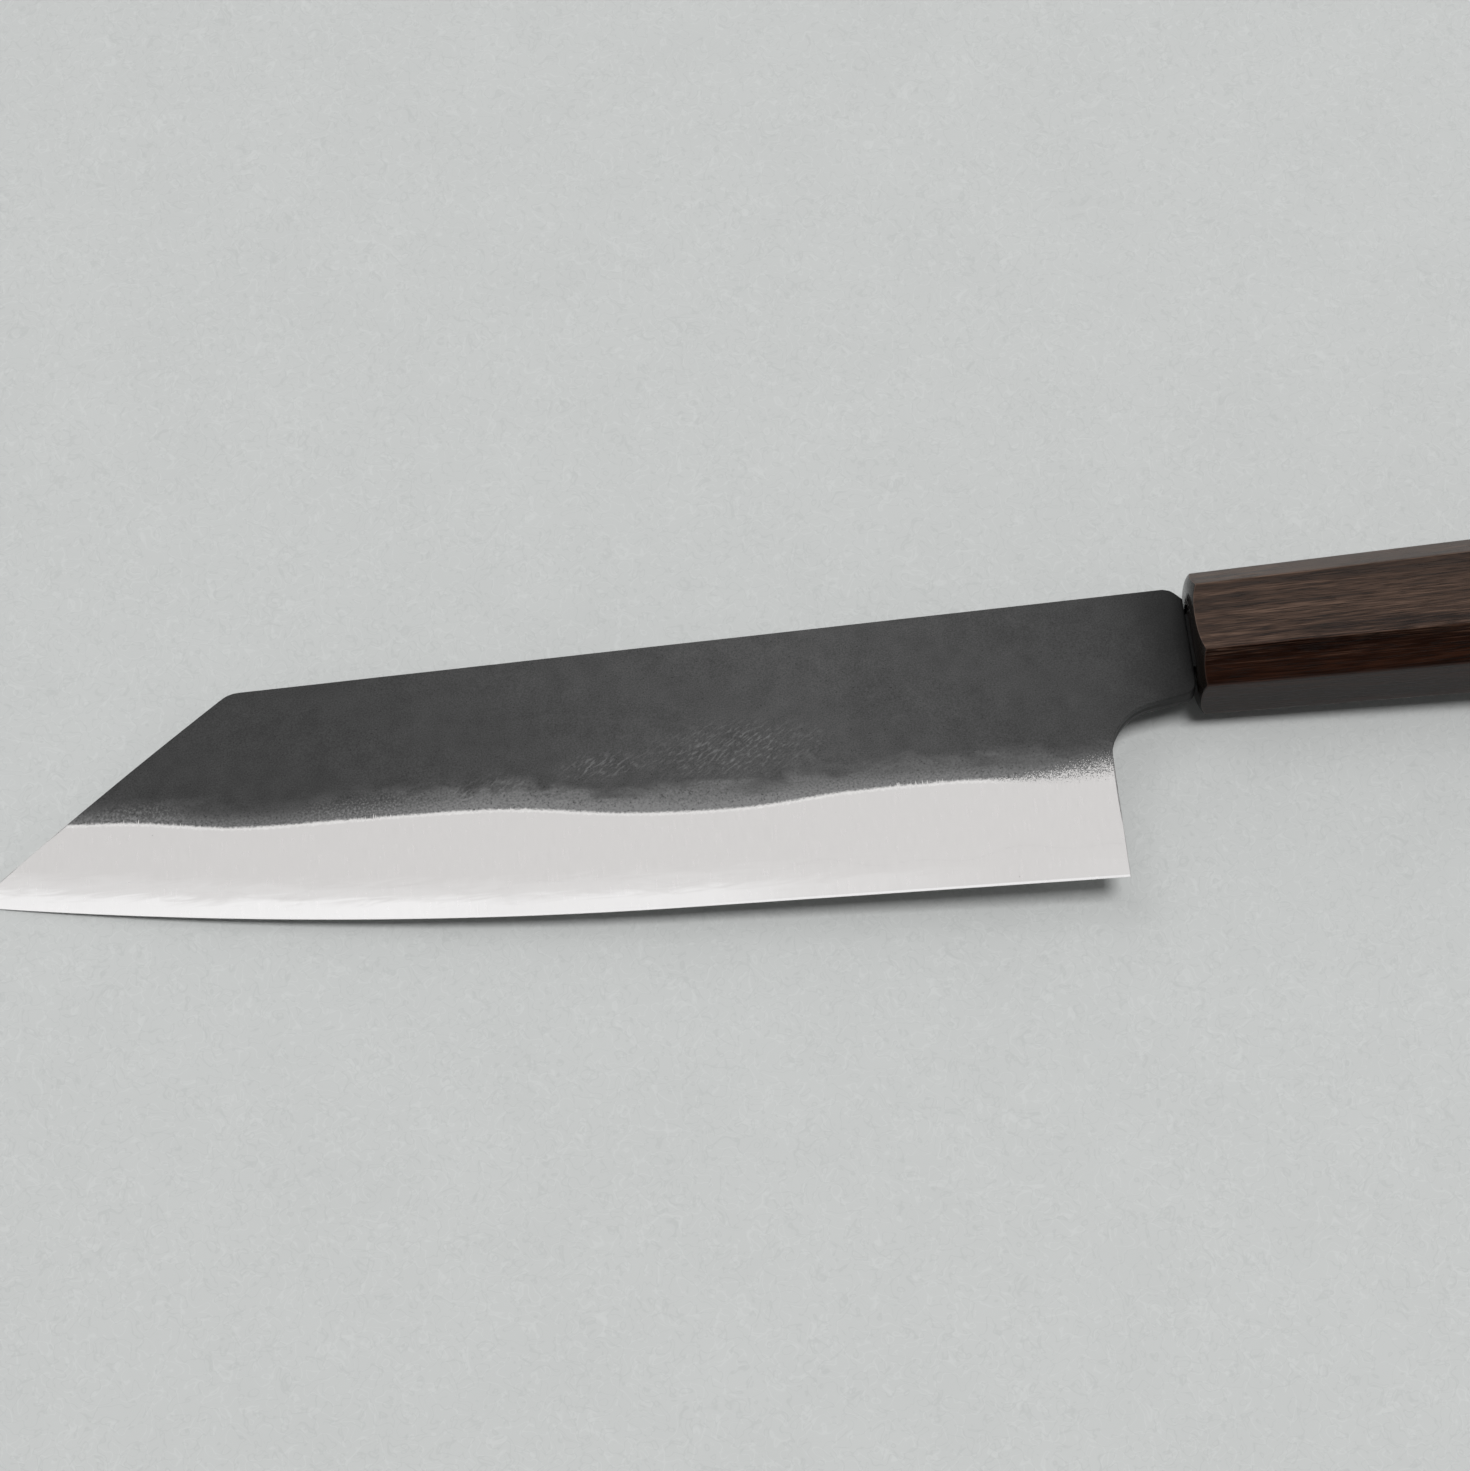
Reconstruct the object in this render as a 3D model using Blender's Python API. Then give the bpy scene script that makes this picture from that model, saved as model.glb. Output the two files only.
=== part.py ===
"""Bunka kitchen knife: a three-layer forged blade in an octagonal wooden handle.

The knife is drawn in its own straight frame, in millimetres. X runs along the handle's axis, from the
handle's front face at 0 towards the butt, so the blade lies at negative X. Y points to the spine and Z
out of the blade's left face. At the end the whole knife is laid on a table on its right side: it leans
on the blade's point and on the front edge of the handle, and the origin goes under its middle.
"""

from math import atan, cos, hypot, pi, sin, tan

import bmesh
import bpy
import numpy as np
from mathutils import Matrix, Vector

MM = 0.001

# Blade outline
BLADE_LENGTH = 170.0        # heel to tip
HEEL_X = -14.1              # rear edge of the heel, in front of the handle
HEEL_Y = -37.8              # corner of the heel, below the handle's axis
EDGE_RISE = 0.0373          # slope of the straight stretch of the edge
EDGE_STRAIGHT = 65.0        # length of that stretch, from the heel
EDGE_RADIUS = 683.0         # curve of the edge from there to the tip
SLANT_RUN = 39.2            # length of the slanted point along X
SLANT_BULGE = 0.45          # how far the slant curves out past a straight line
SPINE_FRONT_Y = 8.0         # spine where the slant begins
SPINE_REAR_Y = 9.15         # spine at the neck
POINT_CORNER_RADIUS = 1.6   # softened corner between spine and slant

# Neck and tang
SHOULDER_GAP = 0.2          # shoulder to the handle's front face
SHOULDER_CHAMFER_X = 1.9
SHOULDER_CHAMFER_Y = 2.0
SHOULDER_TOP_RADIUS = 2.6
SHOULDER_LOW_Y = -8.9
SHOULDER_LOW_RADIUS = 2.2
NECK_SLOPE = 0.17           # underside of the neck, which rises to the handle
CHOIL_RADIUS = 8.2          # curve between the neck and the heel
TANG_LENGTH = 96.0
TANG_ROOT_HEIGHT = 9.0
TANG_END_HEIGHT = 4.4
TANG_END_RADIUS = 1.4

# Thickness of the blade
NECK_THICKNESS = 3.3
TANG_END_THICKNESS = 2.2
DISTAL_TAPER = 0.0110       # thickness lost for each millimetre towards the tip
HEIGHT_TAPER = 0.0256       # thickness lost for each millimetre below the spine
EDGE_THICKNESS = 0.2
CORE_SHARE = 0.27           # core steel's share of the spine's thickness
CORE_WAVES = ((0.10, 33.0, 0.4), (0.07, 14.5, 1.9))   # share of the core, length, phase
WELD_LINE = 0.1             # between the core and each cladding

# Width of the ground bevel above the edge, at distances from the heel
BEVEL_WIDTH = (
    (0.0, 18.2), (10.0, 17.1), (24.0, 17.3), (40.0, 16.8), (54.0, 15.5), (72.0, 15.8),
    (89.0, 17.4), (114.0, 16.3), (131.0, 14.9), (146.0, 15.2), (158.0, 14.3), (176.0, 13.4),
)

# Handle
HANDLE_LENGTH = 130.0
FRONT_HEIGHT = 19.6
FRONT_THICKNESS = 16.4
FRONT_CORNER = 4.2          # height of the slanting facets
BUTT_HEIGHT = 24.7
BUTT_THICKNESS = 20.2
BUTT_CORNER = 5.3
CORNER_LEAN = 0.918         # depth of a slanting facet for its height
ARRIS = 0.3                 # sanded strip along each long edge
END_ROUND = 4.0             # radius of the turned rounding at both ends
FRONT_RIM = 0.55            # flat rim around the bore at the front
BUTT_FLAT = 8.4             # half thickness of the flat at the butt

# Tang seat inside the handle
GLUE_LINE = 0.2
DOWEL_WALL = 0.75
DOWEL_END = 4.0             # dowel past the end of the tang
SEAL_DEPTH = 1.2
SEAL_SUNK = 0.15            # resin below the handle's front face

STATION_STEP = 2.5
ROUND_STEPS = 64
OUTSIDE = 4.0               # how far a cutting body reaches past what it cuts

# Values that follow from the dimensions above
TIP_X = HEEL_X - BLADE_LENGTH
CORNER_X = TIP_X + SLANT_RUN
SHOULDER_X = -SHOULDER_GAP
TANG_FIT_HEIGHT = TANG_ROOT_HEIGHT / 2 + GLUE_LINE
TANG_FIT_DEPTH = NECK_THICKNESS / 2 + GLUE_LINE
DOWEL_RADIUS = hypot(TANG_FIT_HEIGHT, TANG_FIT_DEPTH) + DOWEL_WALL
BORE_RADIUS = DOWEL_RADIUS + GLUE_LINE
DOWEL_START = SEAL_SUNK + SEAL_DEPTH + GLUE_LINE
BORE_DEPTH = TANG_LENGTH + DOWEL_END + GLUE_LINE
FRONT_FLAT = BORE_RADIUS + FRONT_RIM


def edge_y(x):
    """Edge of the blade: a straight stretch from the heel, then a long arc up to the tip."""
    run = HEEL_X - x
    arc = np.maximum(run - EDGE_STRAIGHT, 0.0)
    return HEEL_Y + EDGE_RISE * run + arc ** 2 / (2 * EDGE_RADIUS)


def spine_y(x):
    """Spine of the blade, a straight line from the neck to the slanted point."""
    share = (x - CORNER_X) / (SHOULDER_X - CORNER_X)
    return SPINE_FRONT_Y + share * (SPINE_REAR_Y - SPINE_FRONT_Y)


def bevel_width(x):
    """Smooth cubic through the bevel's widths, level past both ends of the list."""
    runs, widths = np.array(BEVEL_WIDTH).T
    run = np.clip(HEEL_X - x, runs[0], runs[-1])
    slopes = np.gradient(widths, runs)
    i = np.clip(np.searchsorted(runs, run) - 1, 0, len(runs) - 2)
    span = runs[i + 1] - runs[i]
    t = (run - runs[i]) / span
    level = widths[i] * (1 + 2 * t) * (1 - t) ** 2 + widths[i + 1] * t ** 2 * (3 - 2 * t)
    lean = slopes[i] * t * (1 - t) ** 2 - slopes[i + 1] * t ** 2 * (1 - t)
    return level + span * lean


def spine_half(x):
    """Half thickness along the spine: thickest at the neck, drawn out to the tip and down the tang."""
    blade = NECK_THICKNESS + DISTAL_TAPER * min(x, 0.0)
    tang = (TANG_END_THICKNESS - NECK_THICKNESS) * max(x, 0.0) / TANG_LENGTH
    return (blade + tang) / 2


def flat_half(x, y):
    """Half thickness on the black flat of the blade, which thins evenly towards the edge."""
    return spine_half(x) - HEIGHT_TAPER / 2 * (SPINE_REAR_Y - y)


def core_half(x):
    """Half thickness of the core steel, which the hammer has drawn out in soft waves."""
    wave = sum(share * sin(2 * pi * x / length + phase) for share, length, phase in CORE_WAVES)
    return CORE_SHARE * spine_half(x) * (1 + wave)


def bevel_line(x):
    """Ground bevel at one station: its upper end, its slope, and the edge's height there."""
    low = edge_y(x)
    high = low + bevel_width(x)
    slope = (flat_half(x, high) - EDGE_THICKNESS / 2) / (high - low)
    return high, slope, low


def bevel_height(x, half):
    """Height at which the ground bevel has the given half thickness."""
    _, slope, low = bevel_line(x)
    return low + (half - EDGE_THICKNESS / 2) / slope


def fillet(before, corner, after, radius, steps=6):
    """Tangent arc of the given radius in place of one corner of an outline."""
    corner = Vector(corner)
    back = (Vector(before) - corner).normalized()
    ahead = (Vector(after) - corner).normalized()
    half_angle = back.angle(ahead) / 2
    middle = corner + (back + ahead).normalized() * (radius / sin(half_angle))
    first = (corner + back * (radius / tan(half_angle)) - middle).normalized()
    last = (corner + ahead * (radius / tan(half_angle)) - middle).normalized()
    return [middle + radius * first.slerp(last, i / steps) for i in range(steps + 1)]


def blade_outline():
    """Side view of blade, neck and tang as one closed line, from the heel along the edge."""
    edge = [(x, edge_y(x)) for x in np.linspace(HEEL_X, TIP_X, 35)]
    tip = Vector(edge[-1])
    corner = Vector((CORNER_X, spine_y(CORNER_X)))
    chord = corner - tip
    outward = Vector((-chord.y, chord.x)).normalized() * SLANT_BULGE
    slant = [tip + chord * t + outward * 4 * t * (1 - t) for t in np.linspace(0.1, 0.9, 9)]

    chamfer_top = (SHOULDER_X - SHOULDER_CHAMFER_X, spine_y(SHOULDER_X - SHOULDER_CHAMFER_X))
    chamfer_low = (SHOULDER_X, SPINE_REAR_Y - SHOULDER_CHAMFER_Y)
    root = TANG_ROOT_HEIGHT / 2
    end = TANG_END_HEIGHT / 2
    shoulder_low = (SHOULDER_X, SHOULDER_LOW_Y)
    choil = (HEEL_X, SHOULDER_LOW_Y + NECK_SLOPE * (HEEL_X - SHOULDER_X))
    return (
        edge + slant
        + fillet(slant[-1], corner, chamfer_top, POINT_CORNER_RADIUS)
        + fillet(corner, chamfer_top, chamfer_low, SHOULDER_TOP_RADIUS)
        + [chamfer_low, (SHOULDER_X, root)]
        + fillet((SHOULDER_X, root), (TANG_LENGTH, end), (TANG_LENGTH, -end), TANG_END_RADIUS)
        + fillet((TANG_LENGTH, end), (TANG_LENGTH, -end), (SHOULDER_X, -root), TANG_END_RADIUS)
        + [(SHOULDER_X, -root)]
        + fillet((SHOULDER_X, -root), shoulder_low, choil, SHOULDER_LOW_RADIUS)
        + fillet(shoulder_low, choil, edge[0], CHOIL_RADIUS, 10)
    )


def blade_stations():
    """X of each cross-section: close together on the blade, with one where the tang begins."""
    blade = np.arange(TIP_X - OUTSIDE, 0.0, STATION_STEP)
    return list(blade) + [0.0, TANG_LENGTH + OUTSIDE]


def finish_mesh(name, bm):
    """Turn a bmesh drawn in millimetres into a mesh object in metres, with its faces outward."""
    bmesh.ops.triangulate(bm, faces=bm.faces)
    bmesh.ops.recalc_face_normals(bm, faces=bm.faces)
    bmesh.ops.scale(bm, vec=(MM, MM, MM), verts=bm.verts)
    mesh = bpy.data.meshes.new(name)
    bm.to_mesh(mesh)
    bm.free()
    piece = bpy.data.objects.new(name, mesh)
    bpy.context.collection.objects.link(piece)
    return piece


def loft(name, loops):
    """Closed body through a row of loops that all have as many corners."""
    bm = bmesh.new()
    rings = [[bm.verts.new(point) for point in loop] for loop in loops]
    for one, two in zip(rings, rings[1:]):
        for i in range(len(one)):
            j = (i + 1) % len(one)
            bm.faces.new((one[i], one[j], two[j], two[i]))
    bm.faces.new(rings[0])
    bm.faces.new(rings[-1])
    return finish_mesh(name, bm)


def prism(name, outline, half_depth):
    """Outline in the plane of the blade, extruded to the same depth on both sides."""
    bm = bmesh.new()
    face = bm.faces.new([bm.verts.new((x, y, -half_depth)) for x, y in outline])
    raised = bmesh.ops.extrude_face_region(bm, geom=[face])["geom"]
    top = [item for item in raised if isinstance(item, bmesh.types.BMVert)]
    bmesh.ops.translate(bm, vec=(0, 0, 2 * half_depth), verts=top)
    return finish_mesh(name, bm)


def turned(name, profile, stretch=1.0):
    """Body of round rings about the handle's axis. The profile lists x and radius."""
    angles = np.linspace(0, 2 * pi, ROUND_STEPS, endpoint=False)
    loops = [[(x, stretch * r * sin(a), r * cos(a)) for a in angles] for x, r in profile]
    return loft(name, loops)


def as_cutter(piece):
    """Mark a body that only shapes others."""
    piece.hide_render = True
    piece.display_type = "WIRE"
    return piece


def combine(piece, operation, cutter):
    """Cut the piece by the other body, or keep only what both share."""
    step = piece.modifiers.new(operation.lower() + "_" + cutter.name, "BOOLEAN")
    step.operation = operation
    step.solver = "EXACT"
    step.object = cutter


def finish(name, color, roughness, metallic):
    """Plain shader in the piece's own colour."""
    material = bpy.data.materials.new(name)
    material.use_nodes = True
    shader = material.node_tree.nodes["Principled BSDF"]
    shader.inputs["Base Color"].default_value = (*color, 1.0)
    shader.inputs["Roughness"].default_value = roughness
    shader.inputs["Metallic"].default_value = metallic
    return material


def cladding(name, side, outline):
    """Soft iron on one side, from the spine down to where the bevel cuts into the core."""
    loops = []
    for x in blade_stations():
        inner = core_half(x) + WELD_LINE
        high, _, _ = bevel_line(x)
        top = SPINE_REAR_Y + OUTSIDE
        section = (
            (top, inner), (top, flat_half(x, top)), (high, flat_half(x, high)),
            (bevel_height(x, inner), inner),
        )
        loops.append([(x, y, side * z) for y, z in section])
    layer = loft(name, loops)
    combine(layer, "INTERSECT", outline)
    return layer


def core(name, outline):
    """Hard steel between the claddings. It alone comes out at the edge."""
    loops = []
    for x in blade_stations():
        half = core_half(x)
        _, slope, low = bevel_line(x)
        top = SPINE_REAR_Y + OUTSIDE
        past = low - 1.0
        section = ((top, half), (bevel_height(x, half), half), (past, EDGE_THICKNESS / 2 - slope))
        below = [(y, -z) for y, z in reversed(section)]
        loops.append([(x, y, z) for y, z in list(section) + below])
    layer = loft(name, loops)
    combine(layer, "INTERSECT", outline)
    return layer


def handle_section(x):
    """Eight-sided section, taller than thick, that grows evenly from the front to the butt."""
    share = x / HANDLE_LENGTH
    height = FRONT_HEIGHT + share * (BUTT_HEIGHT - FRONT_HEIGHT)
    thickness = FRONT_THICKNESS + share * (BUTT_THICKNESS - FRONT_THICKNESS)
    corner = FRONT_CORNER + share * (BUTT_CORNER - FRONT_CORNER)
    y, z = height / 2, thickness / 2
    side, spine = y - corner, z - corner * CORNER_LEAN
    return [
        (x, y, spine), (x, side, z), (x, -side, z), (x, -y, spine),
        (x, -y, -spine), (x, -side, -z), (x, side, -z), (x, y, -spine),
    ]


def rounded_end(flat, face_x, direction):
    """Profile of a turned handle end: a flat, an arc, then a cone past the corners."""
    angles = np.radians(np.linspace(0, 60, 9))
    arc = [
        (face_x + direction * END_ROUND * (1 - cos(a)), flat + END_ROUND * sin(a)) for a in angles
    ]
    x, radius = arc[-1]
    reach = BUTT_HEIGHT / 2
    return arc + [(x + direction * reach * tan(angles[-1]), radius + reach)]


def handle():
    """Octagonal bar, its ends rounded like a nut, with a blind bore for the dowel."""
    bar = loft("handle_body", [handle_section(-OUTSIDE), handle_section(HANDLE_LENGTH + OUTSIDE)])
    arris = bar.modifiers.new("arris", "BEVEL")
    arris.width = ARRIS * MM
    arris.segments = 2
    arris.limit_method = "ANGLE"
    front = rounded_end(FRONT_FLAT, 0.0, 1)
    butt = rounded_end(BUTT_FLAT, HANDLE_LENGTH, -1)
    stretch = FRONT_HEIGHT / FRONT_THICKNESS
    combine(bar, "INTERSECT", as_cutter(turned("handle_ends", front + butt[::-1], stretch)))
    bore = turned("dowel_bore", [(-OUTSIDE, BORE_RADIUS), (BORE_DEPTH, BORE_RADIUS)])
    combine(bar, "DIFFERENCE", as_cutter(bore))
    return bar


def tang_clearance():
    """Space of the tang with a glue line all round, longer than the tang at both ends."""
    loops = []
    for x in (-OUTSIDE, TANG_LENGTH + GLUE_LINE):
        share = x / TANG_LENGTH
        y = TANG_FIT_HEIGHT + share * (TANG_END_HEIGHT - TANG_ROOT_HEIGHT) / 2
        z = TANG_FIT_DEPTH + share * (TANG_END_THICKNESS - NECK_THICKNESS) / 2
        loops.append([(x, y, z), (x, -y, z), (x, -y, -z), (x, y, -z)])
    return as_cutter(loft("tang_clearance", loops))


def dowel_half(name, side, clearance):
    """Half of a split dowel, with its half of the burnt-in slot for the tang."""
    angles = np.linspace(0, pi, ROUND_STEPS // 2 + 1)
    half_round = [
        (DOWEL_RADIUS * cos(a), side * (GLUE_LINE / 2 + (DOWEL_RADIUS - GLUE_LINE / 2) * sin(a)))
        for a in angles
    ]
    ends = (DOWEL_START, BORE_DEPTH - GLUE_LINE)
    half = loft(name, [[(x, y, z) for y, z in half_round] for x in ends])
    combine(half, "DIFFERENCE", clearance)
    return half


def seal(clearance):
    """Resin that closes the bore's mouth around the root of the tang."""
    ends = (SEAL_SUNK, SEAL_SUNK + SEAL_DEPTH)
    disc = turned("mouth_seal", [(x, DOWEL_RADIUS) for x in ends])
    combine(disc, "DIFFERENCE", clearance)
    return disc


def corners_of(pieces):
    """Corners of the finished bodies, modifiers included, as one array in metres."""
    graph = bpy.context.evaluated_depsgraph_get()
    arrays = []
    for piece in pieces:
        mesh = piece.evaluated_get(graph).to_mesh()
        points = np.empty(3 * len(mesh.vertices))
        mesh.vertices.foreach_get("co", points)
        arrays.append(points.reshape(-1, 3))
    return np.concatenate(arrays)


def lay_down(frame, blade, others):
    """Lay the knife on its right side, on the blade's point and the handle's front edge.

    The table is the line under the side view that touches both. Its slope is found by halving: where
    the blade reaches further below a trial line than the handle does, that line is too steep.
    """
    metal, wood = corners_of(blade), corners_of(others)
    steep, level = -0.2, 0.0
    for _ in range(50):
        slope = (steep + level) / 2
        blade_low = np.min(metal[:, 2] - slope * metal[:, 0])
        handle_low = np.min(wood[:, 2] - slope * wood[:, 0])
        if blade_low < handle_low:
            steep = slope
        else:
            level = slope
    tilt = -atan(slope)
    turn = Matrix.Rotation(-tilt, 3, "Y")
    laid = np.concatenate([metal, wood]) @ np.array(turn).T
    low, high = laid.min(axis=0), laid.max(axis=0)
    frame.rotation_euler = (0.0, -tilt, 0.0)
    frame.location = (-(low[0] + high[0]) / 2, -(low[1] + high[1]) / 2, -low[2])
    print("tilt", np.degrees(tilt), "place", frame.location[:], "size", high - low)


def build():
    """Model every piece in the straight frame and lay the knife down."""
    for old in list(bpy.data.objects):
        bpy.data.objects.remove(old)

    outline = as_cutter(prism("blade_profile", blade_outline(), NECK_THICKNESS + OUTSIDE))
    clearance = tang_clearance()
    blade = [
        core("blade_core", outline),
        cladding("blade_cladding_left", 1, outline),
        cladding("blade_cladding_right", -1, outline),
    ]
    grip = [
        handle(),
        dowel_half("tang_dowel_left", 1, clearance),
        dowel_half("tang_dowel_right", -1, clearance),
        seal(clearance),
    ]

    steel = finish("core_steel", (0.78, 0.77, 0.76), 0.25, 1.0)
    iron = finish("black_forged_iron", (0.055, 0.055, 0.057), 0.6, 0.5)
    rosewood = finish("oiled_rosewood", (0.050, 0.030, 0.023), 0.35, 0.0)
    magnolia = finish("magnolia", (0.60, 0.50, 0.33), 0.7, 0.0)
    resin = finish("black_resin", (0.012, 0.011, 0.010), 0.3, 0.0)
    finishes = (steel, iron, iron, rosewood, magnolia, magnolia, resin)

    frame = bpy.data.objects.new("knife_laid_down", None)
    bpy.context.collection.objects.link(frame)
    lay_down(frame, blade, grip)
    for piece, material in zip(blade + grip, finishes):
        piece.data.materials.append(material)
        piece.data.shade_smooth()
        piece.data.set_sharp_from_angle(angle=0.3)
        piece.parent = frame
    for cutter in (item for item in bpy.data.objects if item.hide_render):
        cutter.parent = frame


build()
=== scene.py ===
# %% [markdown]
# # A bunka knife on a pale table
# The knife is a three-layer forged blade in an eight-sided wooden handle, lying on its right side.
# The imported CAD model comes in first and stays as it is: it says where everything is. The surfaces
# that the eye meets are then drawn again, finer, in the same place. Each of them stands for one
# node of the CAD model.

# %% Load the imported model
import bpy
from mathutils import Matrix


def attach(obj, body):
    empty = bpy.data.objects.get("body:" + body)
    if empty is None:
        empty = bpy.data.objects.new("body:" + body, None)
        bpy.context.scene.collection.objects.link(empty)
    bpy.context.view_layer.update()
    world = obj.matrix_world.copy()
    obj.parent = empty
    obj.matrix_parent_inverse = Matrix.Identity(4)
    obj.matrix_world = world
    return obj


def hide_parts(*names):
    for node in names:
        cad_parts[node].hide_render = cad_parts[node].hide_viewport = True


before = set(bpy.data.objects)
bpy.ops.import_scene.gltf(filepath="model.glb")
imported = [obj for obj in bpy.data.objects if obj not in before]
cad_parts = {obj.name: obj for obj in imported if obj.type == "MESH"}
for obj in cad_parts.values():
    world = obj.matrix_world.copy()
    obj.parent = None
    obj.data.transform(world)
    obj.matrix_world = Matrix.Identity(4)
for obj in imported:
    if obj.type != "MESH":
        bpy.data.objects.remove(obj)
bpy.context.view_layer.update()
print("nodes", sorted(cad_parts))

# %% [markdown]
# ## Where the knife lies
# The knife is easiest to draw straight: x along the handle's axis with 0 at its front face and the
# blade at negative x, y up to the spine, z out of the left face, all in millimetres. On the table
# it leans on its point and on the front of the handle, so one small turn about y and a shift lay
# it down. They are the same turn and shift as in the CAD model.

# %% From the straight knife to the table
from math import atan, cos, hypot, pi, radians, sin, tan

import bmesh
import bpy
import numpy as np
from mathutils import Matrix

MM = 0.001
TILT = radians(2.515883666230868)
PLACE = (26.84176340699196, 12.729897163808346, 8.18140059709549)


def laid(x, y, z):
    """Turn by TILT about y, move by PLACE, and go from millimetres to metres."""
    x, y, z = np.broadcast_arrays(x, y, z)
    on_table = (
        x * cos(TILT) - z * sin(TILT) + PLACE[0],
        y + PLACE[1],
        x * sin(TILT) + z * cos(TILT) + PLACE[2],
    )
    return np.stack(on_table, axis=-1) * MM


print("front of the handle at", laid(0, 0, 0))

# %% [markdown]
# ## Camera
# The picture was taken from the side of the edge, 61 degrees above the table and a little to the
# left, with a longish lens. The camera's place and its focal length in pixels were fitted to the
# corners of the blade and the long edges of the handle. A camera looks along its own -Z, so its
# matrix holds the right, up and backward directions of the view.

# %% Set the camera
IMAGE_WIDTH = 1470
FOCAL_PIXELS = 4263.3
CAMERA_PLACE = (-0.07097, -0.30264, 0.56267)
ELEVATION, YAW = radians(61.0), radians(5.267)
right = np.array([cos(YAW), -sin(YAW), 0.0])
forward = np.array([sin(YAW) * cos(ELEVATION), cos(YAW) * cos(ELEVATION), -sin(ELEVATION)])
camera = bpy.data.objects.new("camera", bpy.data.cameras.new("camera"))
camera.data.sensor_fit = "HORIZONTAL"
camera.data.lens = camera.data.sensor_width * FOCAL_PIXELS / IMAGE_WIDTH
camera.data.clip_start = 0.01
camera.matrix_world = Matrix.LocRotScale(
    CAMERA_PLACE,
    Matrix(np.stack((right, np.cross(right, forward), -forward), axis=1).tolist()),
    None,
)
bpy.context.collection.objects.link(camera)
bpy.context.scene.camera = camera
print("lens in mm", round(camera.data.lens, 1))

# %% [markdown]
# ## Helpers for materials
# Colours are easiest to read as sRGB hex values, but Blender's shaders want linear light, so one
# function turns them. A second one adds a node with its settings and its links in one call: an
# input that is given a node or a socket is linked to it, and any other input is set. A node stands
# for its first output that is switched on. A material is then written from the inside out, as
# nested calls.

# %% Colour and node helpers


def linear(code, alpha=1.0):
    """sRGB hex to linear: c / 12.92 when dark, else ((c + 0.055) / 1.055) to the power 2.4."""
    parts = [int(code[i:i + 2], 16) / 255 for i in (1, 3, 5)]
    light = [c / 12.92 if c <= 0.04045 else ((c + 0.055) / 1.055) ** 2.4 for c in parts]
    return (*light, alpha)


def node(tree, kind, inputs=None, **settings):
    """Add a shader node, set its properties, and link or set each of its inputs."""
    made = tree.nodes.new("ShaderNode" + kind)
    for name, value in settings.items():
        setattr(made, name, value)
    for name, value in (inputs or {}).items():
        if isinstance(value, bpy.types.Node):
            value = next(socket for socket in value.outputs if socket.enabled)
        if isinstance(value, bpy.types.NodeSocket):
            tree.links.new(value, made.inputs[name])
        else:
            made.inputs[name].default_value = value
    return made


def new_material(name):
    """Material with an empty node tree."""
    material = bpy.data.materials.new(name)
    material.use_nodes = True
    material.node_tree.nodes.clear()
    return material, material.node_tree


print("mid grey", linear("#808080"))

# %% [markdown]
# ## Table
# The knife lies on a plain sheet of pale grey board. Seen close, its surface is a felt of short
# curled fibres, a little lighter or darker than the rest. A contour line of a smooth noise is such
# a thin curled line, so the fibres are the places where the noise is close to one half.

# %% Pale board
board, tree = new_material("pale_grey_fibre_board")
place = node(tree, "TexCoord").outputs["Object"]
cloud = node(tree, "TexNoise", {"Vector": place, "Scale": 60.0, "Detail": 5.0})
grey = node(tree, "Mix", {
    "Factor": cloud, "A": linear("#c6c8c7"), "B": linear("#cccecd")}, data_type="RGBA")
for scale, tint in ((310.0, "#d9dbda"), (370.0, "#b4b7b6")):
    curl = node(tree, "TexNoise", {
        "Vector": place, "Scale": scale, "Detail": 1.0, "Distortion": 1.3})
    beside = node(tree, "Math", {0: curl, 1: 0.5}, operation="SUBTRACT")
    beside = node(tree, "Math", {0: beside}, operation="ABSOLUTE")
    fibre = node(tree, "MapRange", {
        "Value": beside, "From Max": 0.03, "To Min": 0.35, "To Max": 0.0})
    grey = node(tree, "Mix", {"Factor": fibre, "A": grey, "B": linear(tint)}, data_type="RGBA")
matte = node(tree, "BsdfPrincipled", {
    "Base Color": grey, "Roughness": 0.9, "Specular IOR Level": 0.1})
node(tree, "OutputMaterial", {"Surface": matte})

HALF_TABLE = 3.0
corners = [(x * HALF_TABLE, y * HALF_TABLE, 0) for x, y in ((-1, -1), (1, -1), (1, 1), (-1, 1))]
mesh = bpy.data.meshes.new("table")
mesh.from_pydata(corners, [], [(0, 1, 2, 3)])
mesh.materials.append(board)
table = bpy.data.objects.new("table", mesh)
bpy.context.collection.objects.link(table)
print("table material", len(tree.nodes), "nodes")

# %% [markdown]
# ## Light
# The shadows tell where the light is. A dark, narrow one says that most of it comes from one lamp
# high above, a little to the right. A soft, pale one in front of the handle and to the right of
# the heel says that a weaker lamp stands behind the knife, at the left. Both wear polarising
# filters, as photographers use on shiny goods, so they leave no reflection. What the steel mirrors
# is a wide softbox behind the knife. It is there for the reflections only: its light on the table
# is part of what the two lamps give. The room has pale walls and a dim ceiling. The walls are also
# the background of a low view, and what the steel mirrors in it. Behind the camera they are lower,
# because a black flag hangs there, which keeps the wood's near facet dark. Lamps and room together
# give a plain level of light, at which a white surface renders as white.

# %% Room and lamps
WALLS, CEILING = linear("#c5c6c6"), linear("#2e2e2e")

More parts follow.
